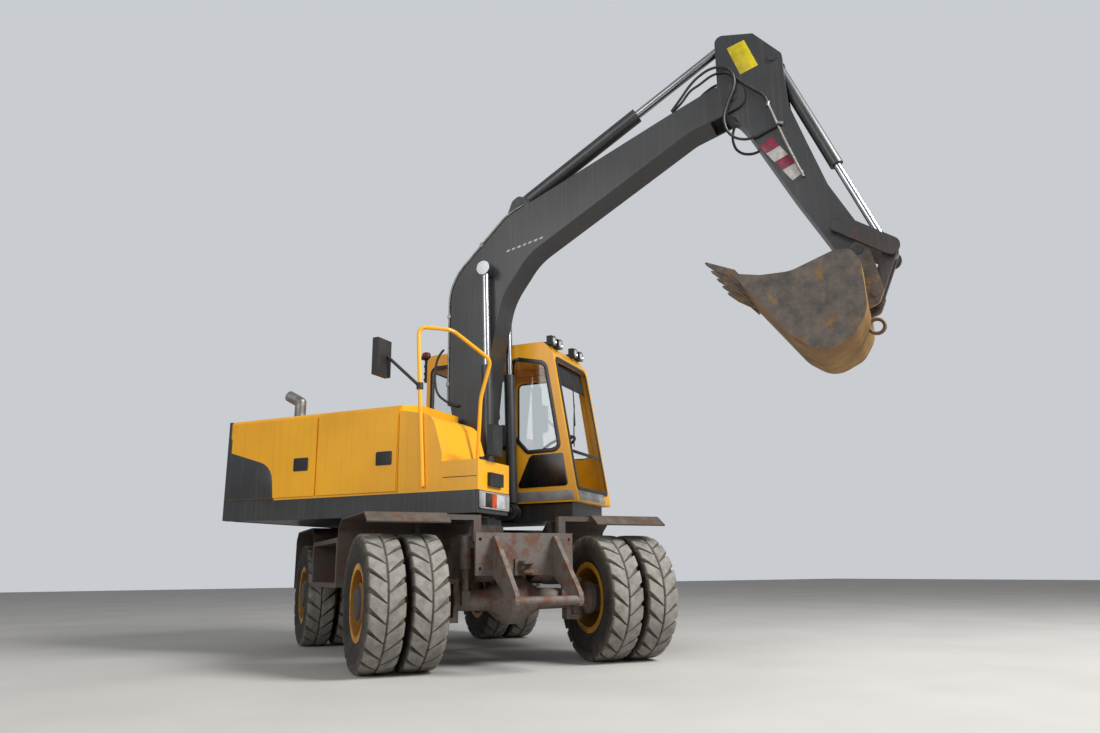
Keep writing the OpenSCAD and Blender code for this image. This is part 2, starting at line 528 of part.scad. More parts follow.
module boom_pipes() color(chrome) on_upper() {
    // the boom outline runs the other way round, so a line moved inwards lies outside it
    steps = 6;
    line = rounded(inset(boom_outline, pipe_r + 13), steps);
    run = [for (i = [13 * (steps + 1) - 1:-1:10 * (steps + 1) - 1]) line[i]];
    end = len(run) - 1;
    top = along(run[end - 1], run[end], 0.06);
    path = [along(run[0], run[1], 0.04), for (i = [1:end - 1]) run[i], top];
    for (v = [-146, -120, 120, 146]) tube([for (p = path) [p.x, v, p.y]], pipe_r);
    for (clamp = [[steps, 0.12], [steps, 0.85], [2 * steps + 1, 0.5]])
        let (a = run[clamp[0]], b = run[clamp[0] + 1], at = along(a, b, clamp[1]))
            translate([at.x, 0, at.y]) rotate([0, -angle_of(a, b), 0]) translate([-20, 0, -pipe_r - 12.7])
                for (v = [-165, 100]) translate([0, v, 0]) cube([40, 65, pipe_r + 28]);
}
module boom_ram_tubes() color(charcoal) on_upper() for (s = [-1, 1]) ram_frame(boom_ram_foot, boom_ram_eye, s * boom_ram_v)
    difference() {
        union() {
            translate([82, 0, 0]) rotate([0, 90, 0]) cylinder(r = boom_ram_r, h = 1308);
            translate([0, -30, -40]) cube([84, 60, 80]);
            rotate([90, 0, 0]) translate([0, 0, -38]) cylinder(r = 62, h = 76);
            rotate([90, 0, 0]) translate([0, 0, -108]) cylinder(r = 35, h = 216);
        }
        translate([200, 0, 0]) rotate([0, 90, 0]) cylinder(r = boom_rod_r + 0.3, h = 1300);
    }
boom_ram_len = norm(boom_ram_eye - boom_ram_foot);
ram_ear = 50;  // half width of a single ram's foot
module boom_ram_rods() color(chrome) on_upper() for (s = [-1, 1]) ram_frame(boom_ram_foot, boom_ram_eye, s * boom_ram_v) {
    translate([1230, 0, 0]) rotate([0, 90, 0]) cylinder(r = boom_rod_r, h = boom_ram_len - 1230);
    translate([boom_ram_len, 50, 0]) rotate([90, 0, 0]) cylinder(r = 72, h = 100);
}
// Arm
arm_outline = [[2925, 5740, 70], [3290, 5665, 20], [3540, 5380, 70], [3540, 5240, 60], [3560, 4850, 300],
    [3680, 4470, 0], [3835, 3990, 0], [4100, 3470, 90], [4110, 3230, 95], [3900, 3260, 60], [3780, 3500, 100],
    [3530, 3960, 0], [3160, 4700, 300], [3060, 4850, 120], [2925, 4900, 120]];
module arm() color(charcoal) on_upper() {
    arm_body();
    cross_bar(bucket_ram_foot, 40, -arm_half_w - 12, arm_half_w + 12);
}
module arm_body() difference() {
    union() {
        plate(arm_outline, -arm_half_w, arm_half_w, 6);
        cross_bar(arm_pin, 50, -boom_half_w - 12, boom_half_w + 12);
        cross_bar(rocker_pin, 40, -215, 215);
        cross_bar(bucket_pin, 38, -180, 180);
    }
    // slots between the ears for the arm ram's eye and the bucket ram's foot
    plate([[2800, 5560, 0], [3080, 5560, 0], [3150, 5800, 0], [2800, 5800, 0]], -60, 60);
    plate([[3370, 5600, 0], [3340, 5270, 0], [3440, 5080, 0], [3600, 4780, 0], [3700, 5400, 0]],
          -bucket_ram_r - side_gap, bucket_ram_r + side_gap);
}
module arm_pipes() color(chrome) on_upper() for (v = [-arm_half_w - 12.3, arm_half_w + 12.3])
    rail([[3380, v, 4900, 0], [3500, v, 4500, 60], [3640, v, 4100, 0]], 12);
module single_ram_tube(foot, eye, r, rod_r, len, ear) ram_frame(foot, eye, 0) difference() {
    union() {
        translate([r + 25, 0, 0]) rotate([0, 90, 0]) cylinder(r = r, h = len - r - 25);
        translate([0, 8 - ear, -r * 0.8]) cube([r + 27, 2 * ear - 16, r * 1.6]);
        rotate([90, 0, 0]) translate([0, 0, -ear]) cylinder(r = r, h = 2 * ear);
    }
    translate([160, 0, 0]) rotate([0, 90, 0]) cylinder(r = rod_r + 0.3, h = len);
    rotate([90, 0, 0]) translate([0, 0, -200]) cylinder(r = 40 + run_gap, h = 400);
}
module single_ram_rod(foot, eye, rod_r, start, ear, eye_r) ram_frame(foot, eye, 0) {
    reach = norm(eye - foot);
    translate([start, 0, 0]) rotate([0, 90, 0]) cylinder(r = rod_r, h = reach - start);
    translate([reach, ear, 0]) rotate([90, 0, 0]) cylinder(r = eye_r, h = 2 * ear);
}
module arm_ram_tube() color(charcoal) on_upper() single_ram_tube(arm_ram_foot, arm_ram_eye, arm_ram_r, arm_rod_r, 1480, ram_ear);
module arm_ram_rod() color(chrome) on_upper() single_ram_rod(arm_ram_foot, arm_ram_eye, arm_rod_r, 930, 52, 68);
module bucket_ram_tube() color(charcoal) on_upper()
    single_ram_tube(bucket_ram_foot, link_top_pin, bucket_ram_r, bucket_rod_r, 1235, ram_ear);
module bucket_ram_rod() color(chrome) on_upper()
    single_ram_rod(bucket_ram_foot, link_top_pin, bucket_rod_r, 1100, 45, 60);
// Linkage and bucket
function bow(a, b, r) = let (d = unit(b - a), n = [-d.y, d.x])
    [[(a - d * r + n * r).x, (a - d * r + n * r).y, r * 0.95], [(a - d * r - n * r).x, (a - d * r - n * r).y, r * 0.95],
     [(b + d * r - n * r).x, (b + d * r - n * r).y, r * 0.95], [(b + d * r + n * r).x, (b + d * r + n * r).y, r * 0.95]];
module rocker() color(charcoal) on_upper() difference() {
    for (s = [-1, 1]) plate(bow(rocker_pin, link_top_pin, 75), s * 187, s * 217);
    cross_bar(rocker_pin, 40 + run_gap, -300, 300);
}
module push_link() color(charcoal) on_upper() difference() {
    union() {
        for (s = [-1, 1]) plate(bow(link_low_pin, link_top_pin, 54), s * 60, s * 125);
        plate(bow(link_low_pin, along(link_low_pin, link_top_pin, 0.45), 44), -61, 61);
        for (s = [-1, 1]) cross_bar(link_top_pin, 60, s * 124, s * 180);
    }
    cross_bar(link_low_pin, 32 + run_gap, -200, 200);
}
// The bucket's side, and the long outline that its shell is cut from, both clockwise from the lip
bucket_side = [[3014, 3167, 0], [3258, 3116, 200], [3500, 3112, 300], [3859, 3240, 60], [3990, 3230, 90],
    [4054, 3115, 60], [4070, 2700, 260], [3960, 2520, 180], [3700, 2390, 220], [3480, 2545, 300]];
bucket_bowl = [[2865, 3366, 0], [4039, 3500, 0], [4070, 2700, 260], [3960, 2520, 180], [3700, 2390, 220],
    [3480, 2545, 300]];
lip = [3014, 3167];
lip_dir = unit(lip - [3480, 2545]);
// A point beyond the lip along the cutting plate and inwards from its outer face
function at_lip(a, b) = let (p = lip + lip_dir * a + [lip_dir.y, -lip_dir.x] * b) [p.x, p.y, 0];
module bucket() color(rust) on_upper() {
    half = bucket_w / 2;
    difference() {
        plate(bucket_side, -half, half);
        plate(inset(bucket_bowl, bucket_shell_t), -half + bucket_side_t, half - bucket_side_t);
    }
    for (s = [-1, 1]) difference() {
        plate([[3960, 3180, 0], [3950, 3340, 80], [4030, 3440, 70], [4120, 3330, 70], [4200, 2960, 80],
               [4150, 2840, 60], [4040, 2800, 0], [4036, 3180, 0]], s * 132, s * 172);
        cross_bar(bucket_pin, 38 + run_gap, -300, 300);
    }
    cross_bar(link_low_pin, 32, -180, 180);
    for (i = [0:tooth_count - 1]) {
        v = -half + 50 + i * (bucket_w - 100) / (tooth_count - 1);
        plate([at_lip(-110, -20), at_lip(0, -28), at_lip(125, -74), at_lip(242, -98), at_lip(242, -84),
               at_lip(120, -16), at_lip(10, 46), at_lip(-70, 46), at_lip(-110, 22)], v - 35, v + 35);
    }
    translate([4108, 0, 2690]) rotate([90, 0, 0]) rotate_extrude() translate([62, 0]) circle(r = 16);
}

chassis_frame();
drawbar_bracket();
front_axle();
rear_axle();
axle_lock_rams();
driveline();
front_fenders();
rear_fenders();
side_steps();
knuckle(1);  // knuckle_left
knuckle(-1);  // knuckle_right
wheel_place(front_axle_x, 1) rims();  // rims_front_left
wheel_place(front_axle_x, -1) rims();  // rims_front_right
wheel_place(rear_axle_x, 1) rims();  // rims_rear_left
wheel_place(rear_axle_x, -1) rims();  // rims_rear_right
wheel_place(front_axle_x, 1) tyres();  // tyres_front_left
wheel_place(front_axle_x, -1) tyres();  // tyres_front_right
wheel_place(rear_axle_x, 1) tyres();  // tyres_rear_left
wheel_place(rear_axle_x, -1) tyres();  // tyres_rear_right
slew_platform();
skirts();
counterweight();
engine_housing();
engine();
tank();
front_box();
cab_shell();
cab_glass();
seat();
cab_controls();
handrails();
mirrors();
exhaust();
lamps();
cab_door();
side_door(engine_door_rear, -680, -1);  // engine_door_right
side_door(pump_door_rear, 190, -1);  // pump_door_right
side_door(engine_door_rear, -580, 1);  // engine_door_left
hood_lid();
boom();
boom_pipes();
boom_ram_tubes();
boom_ram_rods();
arm();
arm_pipes();
arm_ram_tube();
arm_ram_rod();
bucket_ram_tube();
bucket_ram_rod();
rocker();
push_link();
bucket();
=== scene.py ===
"""Finish, tread, glazing fittings and small parts of a wheeled excavator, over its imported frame."""
import json
import math

import bpy
from mathutils import Matrix, Vector
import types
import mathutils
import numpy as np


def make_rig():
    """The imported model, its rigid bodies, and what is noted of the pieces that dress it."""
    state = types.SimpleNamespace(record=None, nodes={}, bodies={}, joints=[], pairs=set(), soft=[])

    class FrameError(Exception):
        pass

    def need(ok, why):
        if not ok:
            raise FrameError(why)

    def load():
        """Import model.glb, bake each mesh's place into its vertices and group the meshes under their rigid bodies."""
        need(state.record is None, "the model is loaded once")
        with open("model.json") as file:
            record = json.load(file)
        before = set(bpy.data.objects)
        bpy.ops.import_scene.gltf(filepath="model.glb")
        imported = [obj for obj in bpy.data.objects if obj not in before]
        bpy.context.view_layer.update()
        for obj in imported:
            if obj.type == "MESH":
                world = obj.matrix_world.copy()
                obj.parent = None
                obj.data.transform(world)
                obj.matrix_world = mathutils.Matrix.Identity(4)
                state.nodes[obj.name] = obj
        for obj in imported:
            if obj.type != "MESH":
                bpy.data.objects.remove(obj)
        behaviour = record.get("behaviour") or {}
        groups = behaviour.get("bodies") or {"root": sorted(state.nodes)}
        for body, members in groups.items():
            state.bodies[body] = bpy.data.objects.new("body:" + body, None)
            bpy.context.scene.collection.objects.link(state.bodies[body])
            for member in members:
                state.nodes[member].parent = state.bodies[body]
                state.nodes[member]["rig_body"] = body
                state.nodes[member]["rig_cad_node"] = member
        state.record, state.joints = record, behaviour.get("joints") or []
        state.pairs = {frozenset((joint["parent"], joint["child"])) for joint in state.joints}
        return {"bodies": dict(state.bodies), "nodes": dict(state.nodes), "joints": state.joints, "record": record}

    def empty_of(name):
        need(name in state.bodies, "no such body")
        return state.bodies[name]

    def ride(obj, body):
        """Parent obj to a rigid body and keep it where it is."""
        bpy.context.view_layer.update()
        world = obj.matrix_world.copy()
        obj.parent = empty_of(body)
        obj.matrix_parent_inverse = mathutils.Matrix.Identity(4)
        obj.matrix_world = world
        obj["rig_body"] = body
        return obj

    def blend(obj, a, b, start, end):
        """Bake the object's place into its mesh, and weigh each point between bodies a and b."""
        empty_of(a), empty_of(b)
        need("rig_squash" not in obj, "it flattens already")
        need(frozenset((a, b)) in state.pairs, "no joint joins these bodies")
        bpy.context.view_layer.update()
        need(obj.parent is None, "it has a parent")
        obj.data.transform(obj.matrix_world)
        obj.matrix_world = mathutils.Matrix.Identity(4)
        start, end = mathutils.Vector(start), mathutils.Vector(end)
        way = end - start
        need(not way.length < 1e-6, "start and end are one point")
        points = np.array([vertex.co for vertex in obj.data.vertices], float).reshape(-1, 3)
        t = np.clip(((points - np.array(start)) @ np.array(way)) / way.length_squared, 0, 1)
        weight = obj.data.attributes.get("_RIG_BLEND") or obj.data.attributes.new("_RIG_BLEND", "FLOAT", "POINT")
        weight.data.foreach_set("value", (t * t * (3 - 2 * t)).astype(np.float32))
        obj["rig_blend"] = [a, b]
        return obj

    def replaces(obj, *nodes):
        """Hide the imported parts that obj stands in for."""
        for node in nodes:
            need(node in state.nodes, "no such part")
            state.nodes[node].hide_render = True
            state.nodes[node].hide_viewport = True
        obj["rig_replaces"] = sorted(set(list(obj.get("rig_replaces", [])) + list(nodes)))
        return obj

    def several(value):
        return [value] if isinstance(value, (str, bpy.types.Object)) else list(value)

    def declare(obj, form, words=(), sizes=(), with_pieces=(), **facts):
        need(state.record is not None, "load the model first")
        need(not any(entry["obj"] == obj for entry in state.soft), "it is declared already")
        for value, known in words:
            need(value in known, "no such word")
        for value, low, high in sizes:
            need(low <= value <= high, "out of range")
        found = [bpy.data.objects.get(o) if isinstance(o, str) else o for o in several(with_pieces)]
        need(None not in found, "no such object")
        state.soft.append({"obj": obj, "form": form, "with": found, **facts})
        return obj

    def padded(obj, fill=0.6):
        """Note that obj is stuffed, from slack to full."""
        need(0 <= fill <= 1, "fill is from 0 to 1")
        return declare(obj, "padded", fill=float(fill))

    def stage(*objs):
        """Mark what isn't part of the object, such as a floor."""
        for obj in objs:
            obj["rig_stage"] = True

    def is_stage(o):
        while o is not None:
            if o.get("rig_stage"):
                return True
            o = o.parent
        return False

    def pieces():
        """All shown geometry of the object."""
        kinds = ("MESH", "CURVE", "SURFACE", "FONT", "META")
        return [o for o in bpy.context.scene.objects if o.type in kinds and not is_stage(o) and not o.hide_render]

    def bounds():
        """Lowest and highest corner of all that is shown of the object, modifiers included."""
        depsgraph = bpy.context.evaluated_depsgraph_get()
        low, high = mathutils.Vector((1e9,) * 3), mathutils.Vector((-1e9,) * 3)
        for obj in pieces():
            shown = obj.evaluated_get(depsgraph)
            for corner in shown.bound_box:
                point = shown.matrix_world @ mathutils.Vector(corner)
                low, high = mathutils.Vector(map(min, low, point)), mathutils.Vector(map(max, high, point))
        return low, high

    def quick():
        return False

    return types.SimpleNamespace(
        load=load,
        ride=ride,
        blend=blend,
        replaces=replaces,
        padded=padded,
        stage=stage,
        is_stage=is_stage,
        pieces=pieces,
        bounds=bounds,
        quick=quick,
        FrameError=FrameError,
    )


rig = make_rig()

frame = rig.load()
CAD_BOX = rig.bounds()
NODES = frame["nodes"]
JOINTS = {joint["name"]: joint for joint in frame["record"]["behaviour"]["joints"]}

# The upper structure stands turned on its slewing ring: u points forward, v to its left, in millimetres
SLEW_TURN = math.radians(42)
SLEW_AXIS = Vector(JOINTS["slew"]["pos_m"])
AT_SLEW = Matrix.Translation((SLEW_AXIS.x, SLEW_AXIS.y, 0))
UPPER = AT_SLEW @ Matrix.Rotation(SLEW_TURN, 4, "Z")
MM = Matrix.Scale(0.001, 4)
ON_UPPER = UPPER @ MM
ON_CHASSIS = AT_SLEW @ MM

# Main sizes of the model, in millimetres
UPPER_HALF_W = 1245
DECK_Z = 1376
DOOR_PROUD = 13
CAB_INNER_V = 310
CAB_REAR = -520
CAB_FOOT_U = 1239
BOX_FRONT, BOX_TOP = 990, 1627
BOOM_HALF_W = 155
ARM_HALF_W = 125
AXLES = {"front": 1665, "rear": -1135}
HANDS = {"left": 1, "right": -1}
WHEELS = [(end, side) for end in AXLES for side in HANDS]
AXLE_Z = 505
TYRE_PLACES = (1110, 790)
# Wheel nuts, their circle's radius and the distance of their seat from the machine's middle
NUTS, NUT_CIRCLE, NUT_SEAT = 10, 92, 1168
# Window seals: how far they reach out over the opening's edge, their width and thickness
SEAL_OUT, SEAL_W, SEAL_T = 24, 42, 4
SCREEN_GAP = 0.2
SILL_T, WING_T, LATCH_T = 5, 2, 5
WORK_LIGHTS, WORK_LIGHT_U, WORK_LIGHT_Z = (400, 560, 980, 1140), 965, 3050
EASED_ANGLE = math.radians(38)
# Padding: grid of its mesh in metres, pressure and frames of its swelling
CUSHION_GRID, CUSHION_PRESSURE, CUSHION_FRAMES = 0.009, 4, 20

# Planes that flat pieces are cut in: their own x, y and thickness, in u, v and z
SIDE = Matrix(((1, 0, 0, 0), (0, 0, -1, 0), (0, 1, 0, 0), (0, 0, 0, 1)))
ACROSS = Matrix(((0, 0, 1, 0), (1, 0, 0, 0), (0, 1, 0, 0), (0, 0, 0, 1)))
FLAT = Matrix.Identity(4)
# The cab's front leans back by 1 in 6 above its foot
LEAN = 1 / 6
STRETCH = math.sqrt(1 + LEAN * LEAN)
SCREEN = Matrix(((0, -LEAN / STRETCH, 1 / STRETCH, CAB_FOOT_U), (1, 0, 0, 0),
                 (0, 1 / STRETCH, LEAN / STRETCH, DECK_Z), (0, 0, 0, 1)))

# Camera, solved from the photograph, from the foot of the slewing axis
CAMERA_PLACE = Vector((8.0993, -2.5099, 0.7193))
CAMERA_HEADING = math.radians(156.015)
CAMERA_PITCH = math.radians(13.751)
CAMERA_ROLL = math.radians(-0.589)
CAMERA_LENS = 27.35
SENSOR_WIDTH = 36

# Sky and its strength as a light and as it is seen, floor, and soft lamps: place, size in metres, watts
SKY_COLOUR, SKY_LIGHT, SKY_SEEN = "#c9ccd0", 0.62, 1.0
FLOOR_COLOUR, FLOOR_SHADE, FLOOR_SIZE = "#b7b4b0", "#aeaba7", 80
LAMPS = (("key", (9, 6, 10), 5, 2600), ("fill", (6, -10, 6), 7, 500))
LAMP_TARGET = (0, 0, 2)


def srgb(hex_colour):
    """A written sRGB colour as linear RGBA."""
    values = [int(hex_colour[i:i + 2], 16) / 255 for i in (1, 3, 5)]
    return [v / 12.92 if v <= 0.04045 else ((v + 0.055) / 1.055) ** 2.4 for v in values] + [1]


def add_node(tree, kind, inputs=None, **settings):
    """Adds a shader node with its settings, values and links."""
    made = tree.nodes.new(kind)
    for name, value in settings.items():
        setattr(made, name, value)
    for socket, value in (inputs or {}).items():
        if isinstance(value, bpy.types.NodeSocket):
            tree.links.new(value, made.inputs[socket])
        else:
            made.inputs[socket].default_value = value
    return made


def start_material(name):
    material = bpy.data.materials.new(name)
    material.use_nodes = True
    tree = material.node_tree
    tree.nodes.clear()
    shader = add_node(tree, "ShaderNodeBsdfPrincipled")
    add_node(tree, "ShaderNodeOutputMaterial", {"Surface": shader.outputs[0]})
    return material, tree, shader


def set_shader(shader, **values):
    """Constants on the shader's own sockets, and links from other nodes; an underscore stands for a space."""
    for name, value in values.items():
        socket = shader.inputs[name.replace("_", " ")]
        if isinstance(value, bpy.types.NodeSocket):
            socket.id_data.links.new(value, socket)
        else:
            socket.default_value = value


def patches(tree, place, scale, detail=4.0, roughness=0.55, low=0.35, high=0.65):
    """Soft patches from 0 to 1."""
    made = add_node(tree, "ShaderNodeTexNoise", {"Vector": place, "Scale": scale, "Detail": detail,
                                                 "Roughness": roughness})
    return add_node(tree, "ShaderNodeMapRange", {"Value": made.outputs["Fac"], "From Min": low,
                                                 "From Max": high}).outputs[0]


def combine(tree, operation, a, b=0.0):
    return add_node(tree, "ShaderNodeMath", {0: a, 1: b}, operation=operation, use_clamp=True).outputs[0]


def blend_colours(tree, factor, a, b):
    made = add_node(tree, "ShaderNodeMix", data_type="RGBA")
    for socket, value in ((made.inputs["Factor"], factor), (made.inputs[6], a), (made.inputs[7], b)):
        if isinstance(value, bpy.types.NodeSocket):
            tree.links.new(value, socket)
        else:
            socket.default_value = value
    return made.outputs[2]


def grain_bump(tree, place, scale, strength, distance, detail=2.0):
    height = add_node(tree, "ShaderNodeTexNoise", {"Vector": place, "Scale": scale,
                                                   "Detail": detail}).outputs["Fac"]
    return add_node(tree, "ShaderNodeBump", {"Height": height, "Strength": strength,
                                             "Distance": distance}).outputs[0]


def facing(tree, direction, low, high):
    """0 on faces turned away from a direction of the piece, 1 on faces that look that way."""
    normal = add_node(tree, "ShaderNodeTexCoord").outputs["Normal"]
    along = add_node(tree, "ShaderNodeVectorMath", {0: normal, 1: direction},
                     operation="DOT_PRODUCT").outputs["Value"]
    return add_node(tree, "ShaderNodeMapRange", {"Value": along, "From Min": low,
                                                 "From Max": high}).outputs[0]


def painted(name, colour, faded, dust="#8d7d66", dust_top=1.5, dust_share=0.5, roughness=0.38, coat=0.25,
            rust=0.0, rust_colour="#5d3520"):
    """Sprayed steel: faded in patches, rain-streaked, dusty low down and on ledges, rusty where chipped."""
    material, tree, shader = start_material(name)
    place = add_node(tree, "ShaderNodeTexCoord").outputs["Object"]
    tone = blend_colours(tree, patches(tree, place, 1.4, 5), srgb(colour), srgb(faded))
    streaked = add_node(tree, "ShaderNodeMapping", {"Vector": place, "Scale": (34, 34, 1.1)}).outputs[0]
    streaks = combine(tree, "MULTIPLY", patches(tree, streaked, 1.0, 3, low=0.5, high=0.8), 0.22)
    tone = blend_colours(tree, streaks, tone, srgb(dust))
    height = add_node(tree, "ShaderNodeSeparateXYZ", {"Vector": place}).outputs["Z"]
    low_down = add_node(tree, "ShaderNodeMapRange", {"Value": height, "From Min": dust_top, "From Max": 0.3,
                                                     "To Max": dust_share}).outputs[0]
    ledge = combine(tree, "MULTIPLY", facing(tree, (0, 0, 1), 0.3, 0.95), dust_share)
    grime = combine(tree, "MULTIPLY", combine(tree, "ADD", low_down, ledge), patches(tree, place, 9, 8, 0.7))
    tone = blend_colours(tree, grime, tone, srgb(dust))
    if rust:
        chips = patches(tree, place, 7, 9, 0.72, 0.60 - 0.12 * rust, 0.66 - 0.08 * rust)
        tone = blend_colours(tree, combine(tree, "MULTIPLY", chips, 0.85), tone, srgb(rust_colour))
    matt = add_node(tree, "ShaderNodeMapRange", {"Value": grime, "To Min": roughness,
                                                 "To Max": 0.85}).outputs[0]
    set_shader(shader, Base_Color=tone, Roughness=matt, Normal=grain_bump(tree, place, 260, 0.08, 0.0006),
               Coat_Weight=coat, Coat_Roughness=0.2)
    return material


def yellow_enamel():
    # two-pack enamel on pressed steel: deep warm yellow with a soft gloss
    return painted("yellow_enamel", "#f0ab06", "#e39f08", dust="#9a7a45", dust_share=0.3)


def charcoal_enamel():
    # dark grey enamel on castings and welded boxes, dulled by dust
    return painted("charcoal_enamel", "#252628", "#323334", dust="#6a6259", dust_share=0.28, roughness=0.42)


def linkage_enamel():
    # the same grey worn through to browned steel round the bucket's linkage
    return painted("worn_linkage_enamel", "#2e2b2a", "#3d3633", dust="#6a5a4c", dust_share=0.3, roughness=0.5,
                   coat=0.0, rust=0.55, rust_colour="#4a2c22")


def frame_enamel():
    # undercarriage grey, scuffed and rusted through
    return painted("undercarriage_grey_enamel", "#4d4946", "#5e5854", dust="#786a5c", dust_share=0.7,
                   roughness=0.6, coat=0.0, rust=1.0)


def fender_steel():
    return painted("fender_steel", "#39342f", "#4a443e", dust="#6f6052", dust_share=0.5, roughness=0.62,
                   coat=0.0, rust=0.7)


def rim_enamel(end, side):
    """Rim enamel: bright on the lip, with painted shade browning the dish and painted shade near black at the hub."""
    material = painted("rim_enamel_%s_%s" % (end, side), "#dc9a10", "#b97f12", dust="#6e5436", dust_top=1.4,
                       dust_share=0.6, roughness=0.5, coat=0.08, rust=0.45)
    tree = material.node_tree
    shader = next(node for node in tree.nodes if node.type == "BSDF_PRINCIPLED")
    tone = shader.inputs["Base Color"].links[0].from_socket
    centre = AT_SLEW @ Vector((AXLES[end] * 0.001, 0, AXLE_Z * 0.001))
    place = add_node(tree, "ShaderNodeTexCoord").outputs["Object"]
    flat = add_node(tree, "ShaderNodeMapping", {"Vector": place, "Location": (-centre.x, 0, -centre.z),
                                                "Scale": (1, 0, 1)}).outputs[0]
    out = add_node(tree, "ShaderNodeVectorMath", {0: flat}, operation="LENGTH").outputs["Value"]
    # painted shade in the rim's dish, deepening inwards from its edge
    dish = add_node(tree, "ShaderNodeMapRange", {"Value": out, "From Min": 0.262, "From Max": 0.235,
                                                 "To Max": 0.72}).outputs[0]
    # painted shade, near black, at the hub deep in the wheel
    hub = add_node(tree, "ShaderNodeMapRange", {"Value": out, "From Min": 0.150,
                                                "From Max": 0.122}).outputs[0]
    # brown painted shade over the dish, then near black painted shade at the hub
    tone = blend_colours(tree, dish, tone, srgb("#8a5a14"))
    set_shader(shader, Base_Color=blend_colours(tree, hub, tone, srgb("#2d2620")))
    return material


def two_tone(name, first, second, scale, roughness, metallic=0.0, grain=(260, 0.1, 0.0006), detail=6, **more):
    """A finish that varies between two tones in patches, with its own grain."""
    material, tree, shader = start_material(name)
    place = add_node(tree, "ShaderNodeTexCoord").outputs["Object"]
    mottled = patches(tree, place, scale, detail)
    matt = add_node(tree, "ShaderNodeMapRange", {"Value": mottled, "To Min": roughness,
                                                 "To Max": min(roughness * 1.35, 1.0)}).outputs[0]
    set_shader(shader, Base_Color=blend_colours(tree, mottled, srgb(first), srgb(second)), Roughness=matt,
               Metallic=metallic, Normal=grain_bump(tree, place, *grain), **more)
    return material


def tyre_rubber():
    """Natural rubber: near black walls, lug faces worn matt grey and lightened further by painted sunlight, with road
    dust packed in the grooves.
    """
    material, tree, shader = start_material("tyre_rubber")
    place = add_node(tree, "ShaderNodeTexCoord").outputs["Object"]
    tread = add_node(tree, "ShaderNodeAttribute", attribute_name="tread").outputs["Fac"]
    # lug faces: worn grey rubber, lightened further by painted sunlight
    scuffed_and_sunlit = blend_colours(tree, patches(tree, place, 14, 8, 0.65), srgb("#6f6b65"), srgb("#8f8a82"))
    packed = blend_colours(tree, patches(tree, place, 20, 6), srgb("#4a443d"), srgb("#6b6358"))
    wall = blend_colours(tree, patches(tree, place, 5, 7, 0.6), srgb("#1f1b18"), srgb("#3a3530"))
    top = add_node(tree, "ShaderNodeMapRange", {"Value": tread, "From Min": 0.62,
                                                "From Max": 0.95}).outputs[0]
    low = add_node(tree, "ShaderNodeMapRange", {"Value": tread, "From Min": 0.05,
                                                "From Max": 0.45}).outputs[0]
    tone = blend_colours(tree, top, blend_colours(tree, low, wall, packed), scuffed_and_sunlit)
    set_shader(shader, Base_Color=tone, Roughness=0.88, Normal=grain_bump(tree, place, 320, 0.4, 0.001, 3))
    return material


def digging_steel():
    """Abrasion-resistant plate: ochre earth and rust on the shell, grey worn plate on the sides."""
    material, tree, shader = start_material("digging_steel")
    place = add_node(tree, "ShaderNodeTexCoord").outputs["Object"]
    shell = blend_colours(tree, patches(tree, place, 3, 8, 0.65), srgb("#6e4a22"), srgb("#9c7a45"))
    plate = blend_colours(tree, patches(tree, place, 9, 8, 0.7), srgb("#484543"), srgb("#6c6157"))
    across = UPPER.to_3x3() @ Vector((0, 1, 0))
    side = combine(tree, "MAXIMUM", facing(tree, across, 0.7, 0.9), facing(tree, -across, 0.7, 0.9))
    patched = combine(tree, "MULTIPLY", side, patches(tree, place, 5, 6, 0.6, 0.34, 0.42))
    set_shader(shader, Base_Color=blend_colours(tree, patched, shell, plate), Metallic=0.35, Roughness=0.62,
               Normal=grain_bump(tree, place, 90, 0.4, 0.002, 6))
    return material


def cab_glass():
    """Toughened glass, faintly grey, wiped but dusty."""
    material, tree, shader = start_material("toughened_glass")
    place = add_node(tree, "ShaderNodeTexCoord").outputs["Object"]
    film = patches(tree, place, 5, 7, 0.7, 0.45, 0.9)
    matt = add_node(tree, "ShaderNodeMapRange", {"Value": film, "To Min": 0.01, "To Max": 0.1}).outputs[0]
    set_shader(shader, Roughness=matt, Base_Color=srgb("#e4eaea"), Transmission_Weight=1.0, IOR=1.45)
    return material


def seat_cloth():
    """Woven polyester over foam, its 2 mm weave drawn at 5 mm so that it shows."""
    material, tree, shader = start_material("woven_seat_cloth")
    place = add_node(tree, "ShaderNodeTexCoord").outputs["Object"]
    weave = add_node(tree, "ShaderNodeTexChecker", {"Vector": place, "Scale": 200, "Color1": srgb("#1d1e21"),
                                                    "Color2": srgb("#2c2d31")})
    tone = blend_colours(tree, patches(tree, place, 4, 5), weave.outputs["Color"], srgb("#35363a"))
    set_shader(shader, Base_Color=tone, Roughness=0.92, Sheen_Weight=0.3,
               Normal=grain_bump(tree, place, 400, 0.3, 0.0008))
    return material


def hard_chrome():
    # ground and polished chrome plate under a thin oil film
    return two_tone("hard_chrome", "#b4b5b7", "#9c9da0", 3, 0.2, metallic=1.0, grain=(60, 0.02, 0.0004))


def zinc_pipe():
    # zinc-plated steel tube, dulled outdoors
    return two_tone("zinc_plated_tube", "#a3a19d", "#76736f", 12, 0.36, metallic=0.85)


def exhaust_steel():
    # aluminised steel, sooty in patches
    return two_tone("aluminised_steel", "#a3a19e", "#726e6a", 10, 0.42, metallic=0.85)


def moulded_plastic():
    # grained black polypropylene, greyed by the sun
    return two_tone("moulded_polypropylene", "#161616", "#272726", 8, 0.5, grain=(600, 0.2, 0.0005))


def black_glass_paint():
    # ceramic border fired on the back of the glass, and the satin black panels beside it
    return two_tone("black_glass_border", "#0e0e0f", "#191919", 5, 0.24, grain=(120, 0.03, 0.0004))


